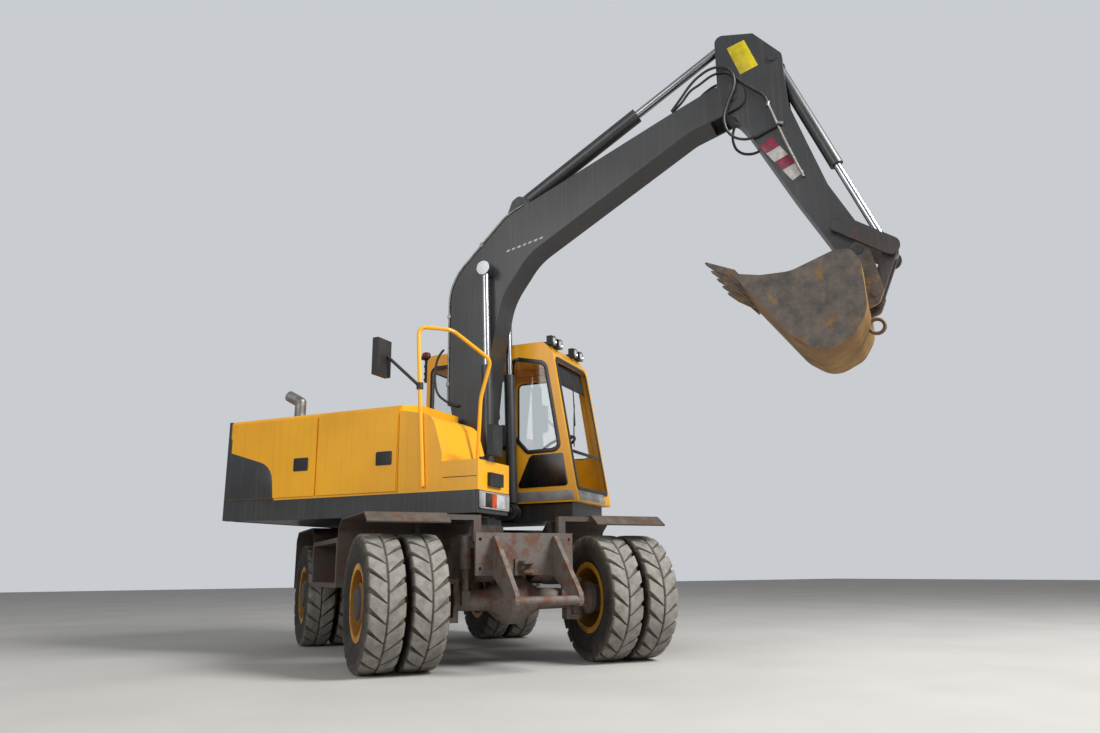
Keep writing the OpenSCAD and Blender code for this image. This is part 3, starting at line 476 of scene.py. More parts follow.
def hose_rubber():
    # oil-resistant rubber over wire braid, with a dusty film
    return two_tone("hydraulic_hose_rubber", "#161515", "#2c2a28", 16, 0.46, grain=(380, 0.25, 0.0006))


def grey_enamel():
    # light grey enamel on the cab's sill and the lamp's frame
    return two_tone("light_grey_enamel", "#a2a2a0", "#7f7d7a", 7, 0.4)


def fastener_zinc():
    # yellow-passivated bolts gone brown
    return two_tone("passivated_fasteners", "#6d5a43", "#433a31", 30, 0.48, metallic=0.7)


def anti_slip():
    # black grit coat on walkways, 2 mm grit drawn at 4 mm
    return two_tone("grit_walkway", "#1c1c1b", "#34322f", 20, 0.85, grain=(250, 0.9, 0.003))


def clear_lens():
    return two_tone("clear_polycarbonate", "#e9ecea", "#cfd2d0", 20, 0.12, Transmission_Weight=0.35)


def amber_lens():
    return two_tone("amber_polycarbonate", "#e2581a", "#c8480f", 20, 0.16, Transmission_Weight=0.2)


def red_lens():
    return two_tone("red_polycarbonate", "#b01222", "#8c0d18", 20, 0.16, Transmission_Weight=0.2)


def smoked_lens():
    return two_tone("smoked_polycarbonate", "#3a3533", "#26221f", 20, 0.14)


def mirror_glass():
    return two_tone("silvered_glass", "#c8ccd0", "#b3b7ba", 4, 0.05, metallic=1.0, grain=(40, 0.01, 0.0002))


def white_film():
    # reflective film, scuffed
    return two_tone("white_reflective_film", "#c9c6c4", "#a9a5a2", 18, 0.36)


def red_film():
    return two_tone("red_reflective_film", "#8e2340", "#6d1c33", 18, 0.36)


def yellow_film():
    return two_tone("yellow_film", "#d3bd0c", "#b5a20c", 14, 0.36)


FINISH_OF = {}


def finish_of(make):
    """Each finish is made once."""
    if make not in FINISH_OF:
        FINISH_OF[make] = make()
    return FINISH_OF[make]


def take(piece):
    """Makes a piece the active one and the only one selected."""
    bpy.ops.object.select_all(action="DESELECT")
    piece.select_set(True)
    bpy.context.view_layer.objects.active = piece


def link_piece(name, data):
    piece = bpy.data.objects.new(name, data)
    bpy.context.collection.objects.link(piece)
    return piece


def start_edit(piece):
    """Edit mode with the whole mesh selected."""
    take(piece)
    bpy.ops.object.mode_set(mode="EDIT")
    bpy.ops.mesh.select_all(action="SELECT")


def end_edit():
    """Turns the normals outwards and leaves edit mode."""
    bpy.ops.mesh.select_all(action="SELECT")
    bpy.ops.mesh.normals_make_consistent(inside=False)
    bpy.ops.object.mode_set(mode="OBJECT")


def apply_modifiers(piece):
    take(piece)
    for modifier in [m.name for m in piece.modifiers]:
        bpy.ops.object.modifier_apply(modifier=modifier)


def ease(piece, width, segments=2):
    """Rounds the edges of a piece that are sharper than EASED_ANGLE."""
    bevel = piece.modifiers.new("eased", "BEVEL")
    bevel.width, bevel.segments = width, segments
    bevel.limit_method, bevel.angle_limit = "ANGLE", EASED_ANGLE
    apply_modifiers(piece)


def rounded(corners, steps=5):
    """Outline with its corners (x, y, radius) rounded."""
    made = []
    for i, (x, y, r) in enumerate(corners):
        here = Vector((x, y))
        if r <= 0:
            made.append(here)
            continue
        back = (Vector(corners[i - 1][:2]) - here).normalized()
        on = (Vector(corners[(i + 1) % len(corners)][:2]) - here).normalized()
        half = back.angle(on) / 2
        centre = here + (back + on).normalized() * (r / math.sin(half))
        first, last = here + back * (r / math.tan(half)) - centre, here + on * (r / math.tan(half)) - centre
        for k in range(steps + 1):
            turn = Matrix.Rotation(first.angle_signed(last) * -(k / steps), 2)
            made.append(centre + turn @ first)
    return [(p.x, p.y) for p in made]


def grown(corners, by):
    """Corners (x, y, radius) of an outline moved outwards."""
    made = []
    area = sum(a[0] * b[1] - b[0] * a[1] for a, b in zip(corners, corners[1:] + corners[:1]))
    for i, (x, y, r) in enumerate(corners):
        before = (Vector((x, y)) - Vector(corners[i - 1][:2])).normalized()
        after = (Vector(corners[(i + 1) % len(corners)][:2]) - Vector((x, y))).normalized()
        out = [Vector((e.y, -e.x)) * (1 if area > 0 else -1) for e in (before, after)]
        move = (out[0] + out[1]) / (1 + out[0].dot(out[1])) * by
        made.append((x + move.x, y + move.y, r + by))
    return made


def rectangle(x0, y0, x1, y1, radius=0):
    return [(x0, y0, radius), (x1, y0, radius), (x1, y1, radius), (x0, y1, radius)]


def on_screen(corners):
    """Corners (v, z, radius) as they lie along the leaning windscreen."""
    return [(v, (z - DECK_Z) * STRETCH, r) for v, z, r in corners]


def cut_sheet(name, outline, thickness, plane, at=0.0, rim=0.0, eased=0.6):
    """A flat piece cut to an outline and standing at a distance from its plane; a rim leaves only a frame."""
    bpy.ops.object.select_all(action="DESELECT")
    bpy.ops.mesh.primitive_circle_add(vertices=len(outline), fill_type="NGON")
    piece = bpy.context.object
    piece.name = piece.data.name = name
    for vertex, (x, y) in zip(piece.data.vertices, outline):
        vertex.co = (x, y, 0)
    start_edit(piece)
    if rim:
        bpy.ops.mesh.inset(thickness=rim)
        bpy.ops.mesh.delete(type="FACE")
        bpy.ops.mesh.select_all(action="SELECT")
    bpy.ops.mesh.extrude_region_move(TRANSFORM_OT_translate={"value": (0, 0, thickness)})
    end_edit()
    if eased:
        ease(piece, eased)
    piece.data.transform(plane @ Matrix.Translation((0, 0, at)))
    return piece


def turned(name, profile, steps=32):
    """A piece turned on its z axis from (radius, height) points."""
    mesh = bpy.data.meshes.new(name)
    mesh.from_pydata([(r, 0, h) for r, h in profile], [(i, i + 1) for i in range(len(profile) - 1)], [])
    piece = link_piece(name, mesh)
    start_edit(piece)
    bpy.ops.mesh.spin(steps=steps, angle=2 * math.pi, center=(0, 0, 0), axis=(0, 0, 1))
    bpy.ops.mesh.select_all(action="SELECT")
    bpy.ops.mesh.remove_doubles(threshold=0.01)
    end_edit()
    return piece


def bent_tube(name, points, radius):
    """A round bar through its points, made from a curve."""
    data = bpy.data.curves.new(name, "CURVE")
    data.dimensions = "3D"
    data.resolution_u, data.bevel_depth, data.bevel_resolution, data.use_fill_caps = 6, radius, 3, True
    line = data.splines.new("BEZIER")
    line.bezier_points.add(len(points) - 1)
    for knot, place in zip(line.bezier_points, points):
        knot.co = place
        knot.handle_left_type = knot.handle_right_type = "AUTO"
    take(link_piece(name, data))
    bpy.ops.object.convert(target="MESH")
    return bpy.context.object


def copies(name, model, places):
    """Copies of a model's mesh at each place, as one piece; the model itself goes."""
    points, faces = [], []
    for place in places:
        start = len(points)
        points += [place @ vertex.co for vertex in model.data.vertices]
        flip = place.to_3x3().determinant() < 0
        for polygon in model.data.polygons:
            corners = [start + index for index in polygon.vertices]
            faces.append(corners[::-1] if flip else corners)
    whole = bpy.data.meshes.new(name)
    whole.from_pydata(points, [], faces)
    bpy.data.objects.remove(model)
    return link_piece(name, whole)


def finish_piece(piece, make, place=ON_UPPER, smooth=32):
    """Moves a piece's mesh to its place, gives it a finish and smooths edges below so many degrees."""
    piece.data.transform(place)
    piece.data.materials.clear()
    piece.data.materials.append(finish_of(make))
    take(piece)
    bpy.ops.object.shade_smooth_by_angle(angle=math.radians(smooth))
    return piece


def fit(piece, body, make, place=ON_UPPER, smooth=32):
    """Finishes a piece in its place and lets it ride on a body."""
    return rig.ride(finish_piece(piece, make, place, smooth), body)


def fit_sheet(name, body, make, corners, thickness, plane, at=0.0, **more):
    fit(cut_sheet(name, rounded(corners), thickness, plane, at, **more), body, make)


# Tread: pitches round a tyre and points to a pitch, which are a groove's two lips, two on its floor and six
# over the lug
PITCHES, COLUMNS = 22, 10
PITCH = 360 / PITCHES
POINTS_ROUND = PITCHES * COLUMNS
# Where a groove starts and ends from the tyre's middle, and how far it runs back: degrees per reach in mm
GROOVE_FROM, GROOVE_TO = 12, 123
SWEEP, SWEEP_REACH = 11.35, 120
# Half widths of a groove at its inner and outer end, and its wall's width with its largest share, in degrees
GROOVE_INNER, GROOVE_OUTER = 0.85, 2.79
GROOVE_WALL, WALL_SHARE = 1.0, 0.45
CENTRE_GROOVE_R = 490
# (y, radius) of a lug's face, (y, radius) of the groove's floor, and the tread attribute of both
TREAD = [(12, 503.4, 12, 490, 1.0, 0.5), (45, 503.2, 45, 481, 1.0, 0.5), (80, 502.6, 80, 474, 1.0, 0.5),
         (108, 500.6, 107, 469, 1.0, 0.5), (123, 497, 121, 465, 1.0, 0.5), (132, 488, 127, 460, 0.6, 0.5),
         (137, 472, 130, 452, 0.2, 0.15), (138, 452, 131, 444, 0.2, 0.15), (137, 438, 133, 434, 0.2, 0.15)]
# (y, radius) of the wall down to the bead
WALL = [(138.5, 415), (139.6, 390), (139, 366), (137, 352), (139.2, 347), (139.2, 338), (134.5, 332),
        (129, 316), (122, 300), (115, 290), (108, 280), (100, 268), (95.3, 259.2)]


def column_angle(offset, pitch, column, y):
    """Angle of a column of the tread, in degrees."""
    shift = (pitch + offset) * PITCH - SWEEP * (min(y, GROOVE_TO) / SWEEP_REACH)
    along = min(max((y - GROOVE_FROM) / (GROOVE_TO - GROOVE_FROM), 0), 1)
    lip = GROOVE_INNER + (GROOVE_OUTER - GROOVE_INNER) * along
    floor = lip - min(GROOVE_WALL, WALL_SHARE * lip)
    if column < 4:
        return shift + (-lip, -floor, floor, lip)[column]
    return shift + lip + (column - 3) * (PITCH - 2 * lip) / 7


def tyre_rings(offset):
    """Rings of (degrees, y, radius, tread value) from the centre groove out to the bead."""
    for y, top, floor_y, floor, value, floor_value in TREAD:
        ring = []
        for i in range(POINTS_ROUND):
            pitch, column = divmod(i, COLUMNS)
            height = (floor_y, floor, floor_value) if column in (1, 2) else (y, top, value)
            ring.append((column_angle(offset, pitch, column, y), *height))
        yield ring
    for y, radius in WALL:
        yield [((i // COLUMNS + offset) * PITCH - SWEEP * GROOVE_TO / SWEEP_REACH
                + (i % COLUMNS - 1.5) * PITCH / COLUMNS, y, radius, 0.0) for i in range(POINTS_ROUND)]


def add_ring(points, tread, middle, half, ring):
    """Adds a ring's points and gives the index of its first."""
    start = len(points)
    for angle, y, radius, value in ring:
        turn = math.radians(180 + angle)
        points.append((radius * math.sin(turn), middle + half * y, radius * math.cos(turn)))
        tread.append(value)
    return start


def add_tyre(points, tread, faces, middle):
    """Adds one tyre, both halves from its centre groove and the bore between their beads."""
    centre = add_ring(points, tread, middle, 1, [((i - 1.5) * 360 / POINTS_ROUND, 0, CENTRE_GROOVE_R, 0.5)
                                                 for i in range(POINTS_ROUND)])
    beads = {}
    for half, offset in ((-1, 0), (1, 0.5)):
        before, step = centre, int(offset * COLUMNS)
        for ring in tyre_rings(offset):
            start = add_ring(points, tread, middle, half, ring)
            for i in range(POINTS_ROUND):
                j = (i + 1) % POINTS_ROUND
                inner = [before + (k + step) % POINTS_ROUND for k in (i, j)]
                quad = [*inner, start + j, start + i]
                faces.append(quad if half > 0 else quad[::-1])
            before, step = start, 0
        beads[half] = before
    for i in range(POINTS_ROUND):
        j = (i + 1) % POINTS_ROUND
        across = [beads[-1] + (k + COLUMNS // 2) % POINTS_ROUND for k in (j, i)]
        faces.append([beads[1] + i, beads[1] + j, *across])


def make_tyres(end, side):
    """The twin tyres of a wheel with their directional lugs, in place of the plain ones of the frame."""
    points, tread, faces = [], [], []
    for middle in TYRE_PLACES:
        add_tyre(points, tread, faces, middle)
    name = "tread_%s_%s" % (end, side)
    mesh = bpy.data.meshes.new(name)
    mesh.from_pydata([(x, y * HANDS[side], z) for x, y, z in points], [], faces)
    mesh.attributes.new("tread", "FLOAT", "POINT").data.foreach_set("value", tread)
    piece = link_piece(name, mesh)
    start_edit(piece)
    end_edit()
    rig.replaces(piece, "tyres_%s_%s" % (end, side))
    fit(piece, "wheels_%s_%s" % (end, side), tyre_rubber,
        ON_CHASSIS @ Matrix.Translation((AXLES[end], 0, AXLE_Z)), 30)


def make_wheel_nuts(end, side):
    """Hexagon nuts with their washers and stud ends round the hub."""
    nut = turned("nut", [(0, 22), (9, 22), (10, 20), (10, 16), (17, 16), (19, 14), (19, 3), (24, 3), (24, 0),
                         (0, 0)], 6)
    seat = Matrix.Translation((0, NUT_SEAT * HANDS[side], NUT_CIRCLE))
    outwards = Matrix.Rotation(math.radians(-90 * HANDS[side]), 4, "X")
    ring = [Matrix.Rotation(math.radians(360 / NUTS * i), 4, "Y") @ seat @ outwards for i in range(NUTS)]
    fit(copies("wheel_nuts_%s_%s" % (end, side), nut, ring), "wheels_%s_%s" % (end, side), fastener_zinc,
        ON_CHASSIS @ Matrix.Translation((AXLES[end], 0, AXLE_Z)), 25)


# Window openings of the cab: corners (along, up, radius)
SIDE_FRONT = [(530, 2080, 60), (700, 1890, 60), (1050, 1900, 60), (900, 2800, 90), (530, 2880, 60)]
SIDE_REAR = [(-450, 1950, 60), (480, 1950, 40), (480, 2880, 60), (-450, 2880, 60)]
DOOR_WINDOW = [(130, 1900, 60), (1020, 1900, 60), (880, 2830, 60), (130, 2830, 60)]
REAR_WINDOW = rectangle(390, 2150, 1165, 2880, 60)
WINDSCREEN = on_screen([(370, 1500, 40), (1185, 1500, 40), (1185, 2860, 60), (370, 2860, 60)])


def make_cab_glazing():
    """Rubber seals round the windows and the windscreen's split bar."""
    for name, body, corners, plane, at in (
            ("seal_side_front", "upper", SIDE_FRONT, SIDE, -CAB_INNER_V),
            ("seal_side_rear", "upper", SIDE_REAR, SIDE, -CAB_INNER_V),
            ("seal_door_window", "cab_door", DOOR_WINDOW, SIDE, -UPPER_HALF_W - SEAL_T),
            ("seal_rear_window", "upper", REAR_WINDOW, ACROSS, CAB_REAR - SEAL_T)):
        fit_sheet(name, body, black_glass_paint, grown(corners, SEAL_OUT), SEAL_T, plane, at, rim=SEAL_W)
    fit_sheet("seal_windscreen", "upper", black_glass_paint, grown(WINDSCREEN, 20), SEAL_T, SCREEN,
              SCREEN_GAP, rim=46)
    fit_sheet("windscreen_split_bar", "upper", black_glass_paint, rectangle(360, 500, 1195, 532), 10, SCREEN,
              -6, eased=2)


def make_cab_panels():
    """Dark panel and riveted sill below the cab's windows."""
    panel = [(580, 1528, 30), (1140, 1534, 30), (1086, 1860, 20), (728, 1856, 60)]
    fit_sheet("panel_below_side_window", "upper", black_glass_paint, panel, 3, SIDE, -CAB_INNER_V)
    sill = [(560, 1395, 4), (1205, 1395, 4), (1190, 1490, 4), (560, 1490, 4)]
    fit_sheet("cab_sill_side", "upper", grey_enamel, sill, SILL_T, SIDE, -CAB_INNER_V)
    fit_sheet("cab_sill_front", "upper", grey_enamel, rectangle(380, 22, 1060, 112, 4), SILL_T, SCREEN,
              SCREEN_GAP)
    rivet = turned("rivet", [(0, 4), (4, 3.4), (7, 1.6), (8, 0)], 12)
    rows = [SCREEN @ Matrix.Translation((v, h, SILL_T + 0.1))
            for v in range(410, 1050, 70) for h in (38, 96)]
    fit(copies("sill_rivets", rivet, rows), "upper", fastener_zinc)


def make_screen_fittings():
    """Sun blind behind the windscreen and its wiper."""
    blind = on_screen(rectangle(400, 2600, 1155, 2850, 20))
    fit_sheet("sun_blind", "upper", moulded_plastic, blind, 3, SCREEN, -46)
    wiper = [SCREEN @ Vector(place) for place in ((430, 560, 12), (520, 800, 16), (640, 1040, 14))]
    fit(bent_tube("wiper_arm", wiper, 6), "upper", moulded_plastic)
    blade = [(560, 800, 3), (572, 796, 3), (716, 1264, 3), (704, 1268, 3)]
    fit_sheet("wiper_blade", "upper", moulded_plastic, blade, 8, SCREEN, 5)


def make_work_lights():
    """Chromed rings and clear lenses of the cab's work lights."""
    faces = [ACROSS @ Matrix.Translation((0, 0, WORK_LIGHT_U)) @ Matrix.Translation((v, WORK_LIGHT_Z, 0))
             for v in WORK_LIGHTS]
    ring = turned("ring", [(34, 0), (50, 0), (52, 4), (50, 9), (44, 9), (36, 3), (34, 0)])
    fit(copies("work_light_rings", ring, faces), "upper", hard_chrome)
    lens = turned("lens", [(0, 6), (20, 5.4), (34, 3), (35, 0), (0, 0)])
    fit(copies("work_light_lenses", lens, faces), "upper", clear_lens)


def make_front_box_fittings():
    """Corner lamp in its frame below the front box, the step's grit coat and the lid's seam."""
    fit_sheet("lamp_frame", "upper", grey_enamel, rectangle(-1226, 1225, -700, 1367, 14), 14, ACROSS,
              BOX_FRONT, rim=12, eased=2)
    for name, v0, v1, make in (("lamp_smoked", -1134, -1015, smoked_lens),
                               ("lamp_amber", -1014, -936, amber_lens),
                               ("lamp_clear", -935, -784, clear_lens), ("lamp_edge", -783, -713, grey_enamel),
                               ("lamp_corner", -1213, -1136, grey_enamel)):
        fit_sheet(name, "upper", make, rectangle(v0, 1238, v1, 1354, 6), 16, ACROSS, BOX_FRONT, eased=3)
    fit_sheet("front_box_step", "upper", anti_slip, rectangle(846, -1228, 978, -700, 8), 3, FLAT, BOX_TOP)
    fit_sheet("box_seam", "upper", black_glass_paint, rectangle(655, 1486, 977, 1492, 2), 1.5, SIDE,
              UPPER_HALF_W)


def make_beacon():
    """Red rotating beacon on its stem behind the cab's rear right corner."""
    stand = Matrix.Translation((CAB_REAR - 28, 330, 0))
    for name, make, steps, profile in (
            ("beacon_stem", moulded_plastic, 20, [(0, 2740), (16, 2740), (16, 3005), (0, 3005)]),
            ("beacon_skirt", moulded_plastic, 32, [(0, 2998), (40, 2998), (66, 3006), (66, 3014), (54, 3032),
                                                   (0, 3032)]),
            ("beacon_dome", red_lens, 32, [(0, 3082), (20, 3081), (38, 3074), (48, 3060), (52, 3032),
                                           (0, 3032)])):
        fit(turned(name, profile, steps), "upper", make, ON_UPPER @ stand)
    clamp = turned("clamp", [(16, 0), (24, 0), (24, 22), (16, 22), (16, 0)], 20)
    rises = [stand @ Matrix.Translation((0, 0, z)) for z in (2761, 2826, 2911)]
    fit(copies("beacon_clamps", clamp, rises), "upper", moulded_plastic)


def make_mirror_glass():
    for name, corners, at in (("mirror_glass_rear", rectangle(-1458, 2408, -1282, 2712, 24), 48),
                              ("mirror_glass_front", rectangle(-1120, 1682, -960, 1918, 24), 1013)):
        fit_sheet(name, "upper", mirror_glass, corners, 2, ACROSS, at)


# Hoses over the boom's point: radius, slope of the last ferrule in degrees, and the way from the boom's side
# to the arm (u, z, distance from the middle)
ARM_HOSES = {
    "outer": (13, 18, [(2475, 5030, 146), (2570, 5140, 148), (2673, 5262, 148), (2759, 5332, 148),
                       (2888, 5382, 150), (2997, 5359, 162), (3074, 5276, 186), (3102, 5177, 194),
                       (3091, 5104, 196), (3058, 5022, 198), (3020, 4942, 198), (2987, 4845, 196),
                       (2987, 4741, 190), (3034, 4634, 176), (3137, 4573, 158), (3242, 4577, 146),
                       (3388, 4629, 141), (3493, 4661, 141)]),
    "inner": (12, -75, [(2475, 5030, 120), (2570, 5110, 122), (2669, 5216, 124), (2755, 5255, 128),
                        (2899, 5320, 134), (3008, 5317, 138), (3090, 5250, 139), (3170, 5160, 139),
                        (3260, 5075, 138), (3345, 4990, 138), (3383, 4895, 137.3)]),
}
# Hose (u, distance from the middle, z) down to the boom's foot
BOOM_HOSE_R = 12
BOOM_HOSE = [(3, 205, 2921), (-44, 203, 2873), (-80, 202, 2800), (-96, 202, 2678), (-90, 202, 2571),
             (-60, 201, 2471), (15, 200, 2398), (124, 178, 2336), (170, 168, 2330)]
# The arm's hoses bend between these two places (u, v, z)
BEND_START, BEND_END = (2600, 0, 5150), (3250, 0, 4700)


def make_hoses():
    """Hoses from the boom's side to the arm, which bend with its joint, and those at the boom's foot."""
    start, end = ON_UPPER @ Vector(BEND_START), ON_UPPER @ Vector(BEND_END)
    for side in ("right", "left"):
        ends = []
        for name, (radius, slope, way) in ARM_HOSES.items():
            path = [(u, v * HANDS[side], z) for u, z, v in way]
            hose = bent_tube("arm_hose_%s_%s" % (name, side), path, radius)
            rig.blend(finish_piece(hose, hose_rubber), "boom", "arm", start=start, end=end)
            ends.append(Matrix.Translation(path[-1]) @ Matrix.Rotation(math.radians(slope), 4, "Y")
                        @ Matrix.Rotation(math.radians(90), 4, "Y") @ Matrix.Translation((0, 0, -30)))
        fit(bent_tube("boom_hose_%s" % side, [(u, v * HANDS[side], z) for u, v, z in BOOM_HOSE], BOOM_HOSE_R),
            "boom", hose_rubber)
        ferrule = turned("ferrule", [(12, 0), (17, 0), (17, 44), (12, 44), (12, 0)], 20)
        fit(copies("arm_hose_ferrules_%s" % side, ferrule, ends), "arm", zinc_pipe)


def make_plates():
    """Blank plate and red and white stripes on the arm, white dashes on the boom's right side."""
    for name, make, at, thickness, eased, corners in (
            ("blank_plate_arm", yellow_film, 0, 2, 0.6,
             [(3039, 5572, 6), (3149, 5262, 6), (3320, 5314, 6), (3206, 5616, 6)]),
            ("stripe_plate", white_film, 0, 2, 0.6,
             [(3276, 4480, 4), (3541, 4088, 4), (3645, 4149, 4), (3392, 4554, 4)]),
            ("stripe_upper", red_film, 2, 1, 0.2,
             [(3276, 4480, 0), (3333, 4397, 0), (3456, 4451, 0), (3392, 4554, 0)]),
            ("stripe_lower", red_film, 2, 1, 0.2,
             [(3400, 4297, 0), (3462, 4205, 0), (3580, 4253, 0), (3520, 4349, 0)])):
        fit_sheet(name, "arm", make, corners, thickness, SIDE, ARM_HALF_W + at, eased=eased)
    dash = cut_sheet("dash", [(-24, -9), (12, -9), (24, 9), (-12, 9)], 1, FLAT, eased=0.2)
    row = [SIDE @ Matrix.Translation((708 + 62 * i, 3891 + 12.5 * i, BOOM_HALF_W))
           @ Matrix.Rotation(math.radians(11.4), 4, "Z") for i in range(7)]
    fit(copies("white_dashes_boom", dash, row), "boom", white_film)


def side_at(side, thickness):
    """Where a sheet of the SIDE plane starts that lies on the outside of a side door."""
    return UPPER_HALF_W + DOOR_PROUD if side == "right" else -UPPER_HALF_W - DOOR_PROUD - thickness


def latch_corners(u0):
    """Outline of a door latch from its rear edge."""
    return [(u0, 1746, 14), (u0, 1626, 14), (u0 + 166, 1626, 14), (u0 + 166, 1746, 14)]


def make_side_doors():
    """Dark wing panels and latches on the side doors, louvres on the left one, and the cab door's handle."""
    wing = [(-1688, 1397, 0), (-1153, 1397, 0), (-1186, 1692, 200), (-1688, 1842, 0)]
    for side in ("right", "left"):
        body = "engine_door_%s" % side
        fit_sheet("dark_wing_%s" % side, body, charcoal_enamel, wing, WING_T, SIDE, side_at(side, WING_T))
        fit_sheet("door_latch_%s" % side, body, moulded_plastic, latch_corners(-928), LATCH_T, SIDE,
                  side_at(side, LATCH_T), eased=2)
    fit_sheet("pump_door_latch", "pump_door_right", moulded_plastic, latch_corners(-20), LATCH_T, SIDE,
              side_at("right", LATCH_T), eased=2)
    slat = cut_sheet("slat", rounded([(0, 0, 0), (12, 4, 1), (4, 24, 1), (0, 24, 0)]), 400, ACROSS, eased=0)
    first = Matrix.Translation((-1060, UPPER_HALF_W + DOOR_PROUD, 1480))
    fit(copies("louvres", slat, [first @ Matrix.Translation((0, 0, 56 * i)) for i in range(9)]),
        "engine_door_left", yellow_enamel)
    handle = [Vector(place) for place in ((905, UPPER_HALF_W, 1600), (905, 1285, 1600), (905, 1285, 1760),
                                          (905, UPPER_HALF_W, 1760))]
    fit(bent_tube("cab_door_handle", handle, 9), "cab_door", moulded_plastic)


def cushion(name, low, high, tilt=0.0):
    """A padded piece: a soft box swollen by pressure and tilted about its middle."""
    bpy.ops.object.select_all(action="DESELECT")
    bpy.ops.mesh.primitive_cube_add(size=1)
    piece = bpy.context.object
    piece.name = piece.data.name = name
    low, high = Vector(low), Vector(high)
    size = (high - low) * 0.001
    piece.data.transform(Matrix.Diagonal((*size, 1)))
    ease(piece, min(size) * 0.3, 4)
    remesh = piece.modifiers.new("remesh", "REMESH")
    remesh.mode, remesh.voxel_size = "VOXEL", CUSHION_GRID
    apply_modifiers(piece)
    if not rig.quick():
        cloth = piece.modifiers.new("swell", "CLOTH")
        cloth.settings.use_pressure = True
        cloth.settings.uniform_pressure_force = CUSHION_PRESSURE
        cloth.settings.effector_weights.gravity = 0
        cloth.point_cache.frame_start, cloth.point_cache.frame_end = 1, CUSHION_FRAMES
        for number in range(1, CUSHION_FRAMES + 1):
            bpy.context.scene.frame_set(number)
        apply_modifiers(piece)
        bpy.context.scene.frame_set(1)
    fine = piece.modifiers.new("fine", "SUBSURF")
    fine.levels = 1
    apply_modifiers(piece)
    piece.data.transform(Matrix.Translation((low + high) / 2) @ Matrix.Rotation(math.radians(tilt), 4, "Y")
                         @ Matrix.Scale(1000, 4))
    return piece


def make_seat():
    """Moulded base and pan with a padded cushion, back and headrest, in place of the frame's plain seat."""
    base = cut_sheet("seat_base", rounded(rectangle(250, 620, 530, 910, 40)), 170, FLAT, 1427, eased=8)
    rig.replaces(base, "seat")
    fit(base, "upper", moulded_plastic)
    fit_sheet("seat_pan", "upper", moulded_plastic, rectangle(150, 545, 600, 985, 50), 44, FLAT, 1597,
              eased=8)
    for name, low, high, tilt, fill in (("seat_cushion", (150, 535, 1640), (620, 995, 1765), 0, 0.8),
                                        ("seat_back", (55, 540, 1745), (165, 990, 2330), -6, 0.8),
                                        ("seat_headrest", (15, 650, 2350), (95, 880, 2480), -6, 0.9)):
        pad = fit(cushion(name, low, high, tilt), "upper", seat_cloth, smooth=60)
        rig.padded(pad, fill=fill)


def make_camera():
    data = bpy.data.cameras.new("photo_camera")
    data.lens, data.sensor_width = CAMERA_LENS, SENSOR_WIDTH
    camera = link_piece("photo_camera", data)
    turn = (Matrix.Rotation(CAMERA_HEADING - math.pi / 2, 4, "Z")
            @ Matrix.Rotation(math.pi / 2 + CAMERA_PITCH, 4, "X") @ Matrix.Rotation(CAMERA_ROLL, 4, "Z"))
    camera.matrix_world = Matrix.Translation(AT_SLEW @ CAMERA_PLACE) @ turn
    bpy.context.scene.camera = camera


def make_light():
    """Even pale sky, which looks brighter than it lights, and two soft lamps."""
    world = bpy.data.worlds.new("pale_sky")
    bpy.context.scene.world = world
    world.use_nodes = True
    tree = world.node_tree
    tree.nodes.clear()
    light = add_node(tree, "ShaderNodeBackground", {"Color": srgb(SKY_COLOUR), "Strength": SKY_LIGHT})
    seen = add_node(tree, "ShaderNodeBackground", {"Color": srgb(SKY_COLOUR), "Strength": SKY_SEEN})
    rays = add_node(tree, "ShaderNodeLightPath").outputs
    shown = combine(tree, "MAXIMUM", rays["Is Camera Ray"], rays["Is Transmission Ray"])
    both = add_node(tree, "ShaderNodeMixShader", {0: shown, 1: light.outputs[0], 2: seen.outputs[0]})
    add_node(tree, "ShaderNodeOutputWorld", {"Surface": both.outputs[0]})
    for name, place, size, watts in LAMPS:
        data = bpy.data.lights.new(name, "AREA")
        data.energy, data.size = watts, size
        turn = (Vector(LAMP_TARGET) - Vector(place)).to_track_quat("-Z", "Y").to_matrix().to_4x4()
        link_piece(name, data).matrix_world = Matrix.Translation(place) @ turn


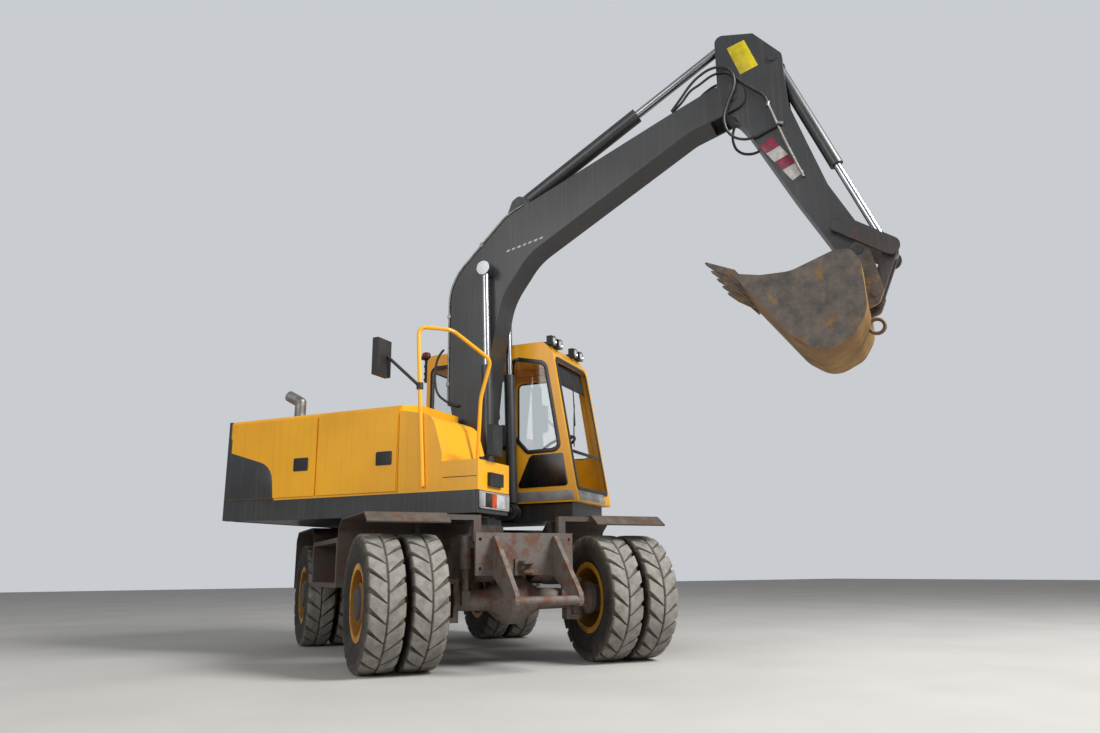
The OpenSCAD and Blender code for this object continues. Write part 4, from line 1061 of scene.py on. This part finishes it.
def make_floor():
    bpy.ops.object.select_all(action="DESELECT")
    bpy.ops.mesh.primitive_plane_add(size=FLOOR_SIZE)
    floor = bpy.context.object
    floor.name = "studio_floor"
    material, tree, shader = start_material("pale_floor")
    place = add_node(tree, "ShaderNodeTexCoord").outputs["Object"]
    tone = blend_colours(tree, patches(tree, place, 0.6, 4), srgb(FLOOR_COLOUR), srgb(FLOOR_SHADE))
    set_shader(shader, Roughness=0.9, Base_Color=tone)
    floor.data.materials.append(material)
    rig.stage(floor)


FINISHES = {
    yellow_enamel: ["engine_housing", "tank", "front_box", "cab_shell", "handrails", "cab_door",
                    "engine_door_right", "pump_door_right", "engine_door_left", "hood_lid"],
    charcoal_enamel: ["slew_platform", "skirts", "counterweight", "boom", "boom_ram_tubes", "arm",
                      "arm_ram_tube", "bucket_ram_tube"],
    linkage_enamel: ["rocker", "push_link"],
    fender_steel: ["front_fenders", "rear_fenders", "side_steps"],
    frame_enamel: ["chassis_frame", "drawbar_bracket", "front_axle", "rear_axle", "axle_lock_rams",
                   "driveline", "knuckle_left", "knuckle_right", "engine"],
    hard_chrome: ["boom_ram_rods", "arm_ram_rod", "bucket_ram_rod"],
    zinc_pipe: ["boom_pipes", "arm_pipes"],
    tyre_rubber: ["tyres_front_left", "tyres_front_right", "tyres_rear_left", "tyres_rear_right"],
    digging_steel: ["bucket"],
    moulded_plastic: ["cab_controls", "mirrors", "lamps", "seat"],
    cab_glass: ["cab_glass"],
    exhaust_steel: ["exhaust"],
}


def assign(node, material):
    """Puts a material into each slot of a CAD node, whose mesh stays as it is."""
    for place in NODES[node].material_slots:
        place.material = material


def finish_nodes():
    for make, names in FINISHES.items():
        for name in names:
            assign(name, finish_of(make))
    for end, side in WHEELS:
        assign("rims_%s_%s" % (end, side), rim_enamel(end, side))


def tell_sizes():
    """Writes the CAD box and the visual model's box."""
    boxes = {"cad": CAD_BOX, "visual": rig.bounds()}
    plain = {name: [[round(float(v), 5) for v in corner] for corner in box] for name, box in boxes.items()}
    with open("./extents.json", "w") as out:
        json.dump(plain, out)


make_camera()
make_light()
make_floor()
finish_nodes()
for end, side in WHEELS:
    make_tyres(end, side)
    make_wheel_nuts(end, side)
make_cab_glazing()
make_cab_panels()
make_screen_fittings()
make_work_lights()
make_front_box_fittings()
make_beacon()
make_mirror_glass()
make_hoses()
make_plates()
make_side_doors()
make_seat()
bpy.context.scene.view_settings.view_transform = "Standard"
tell_sizes()
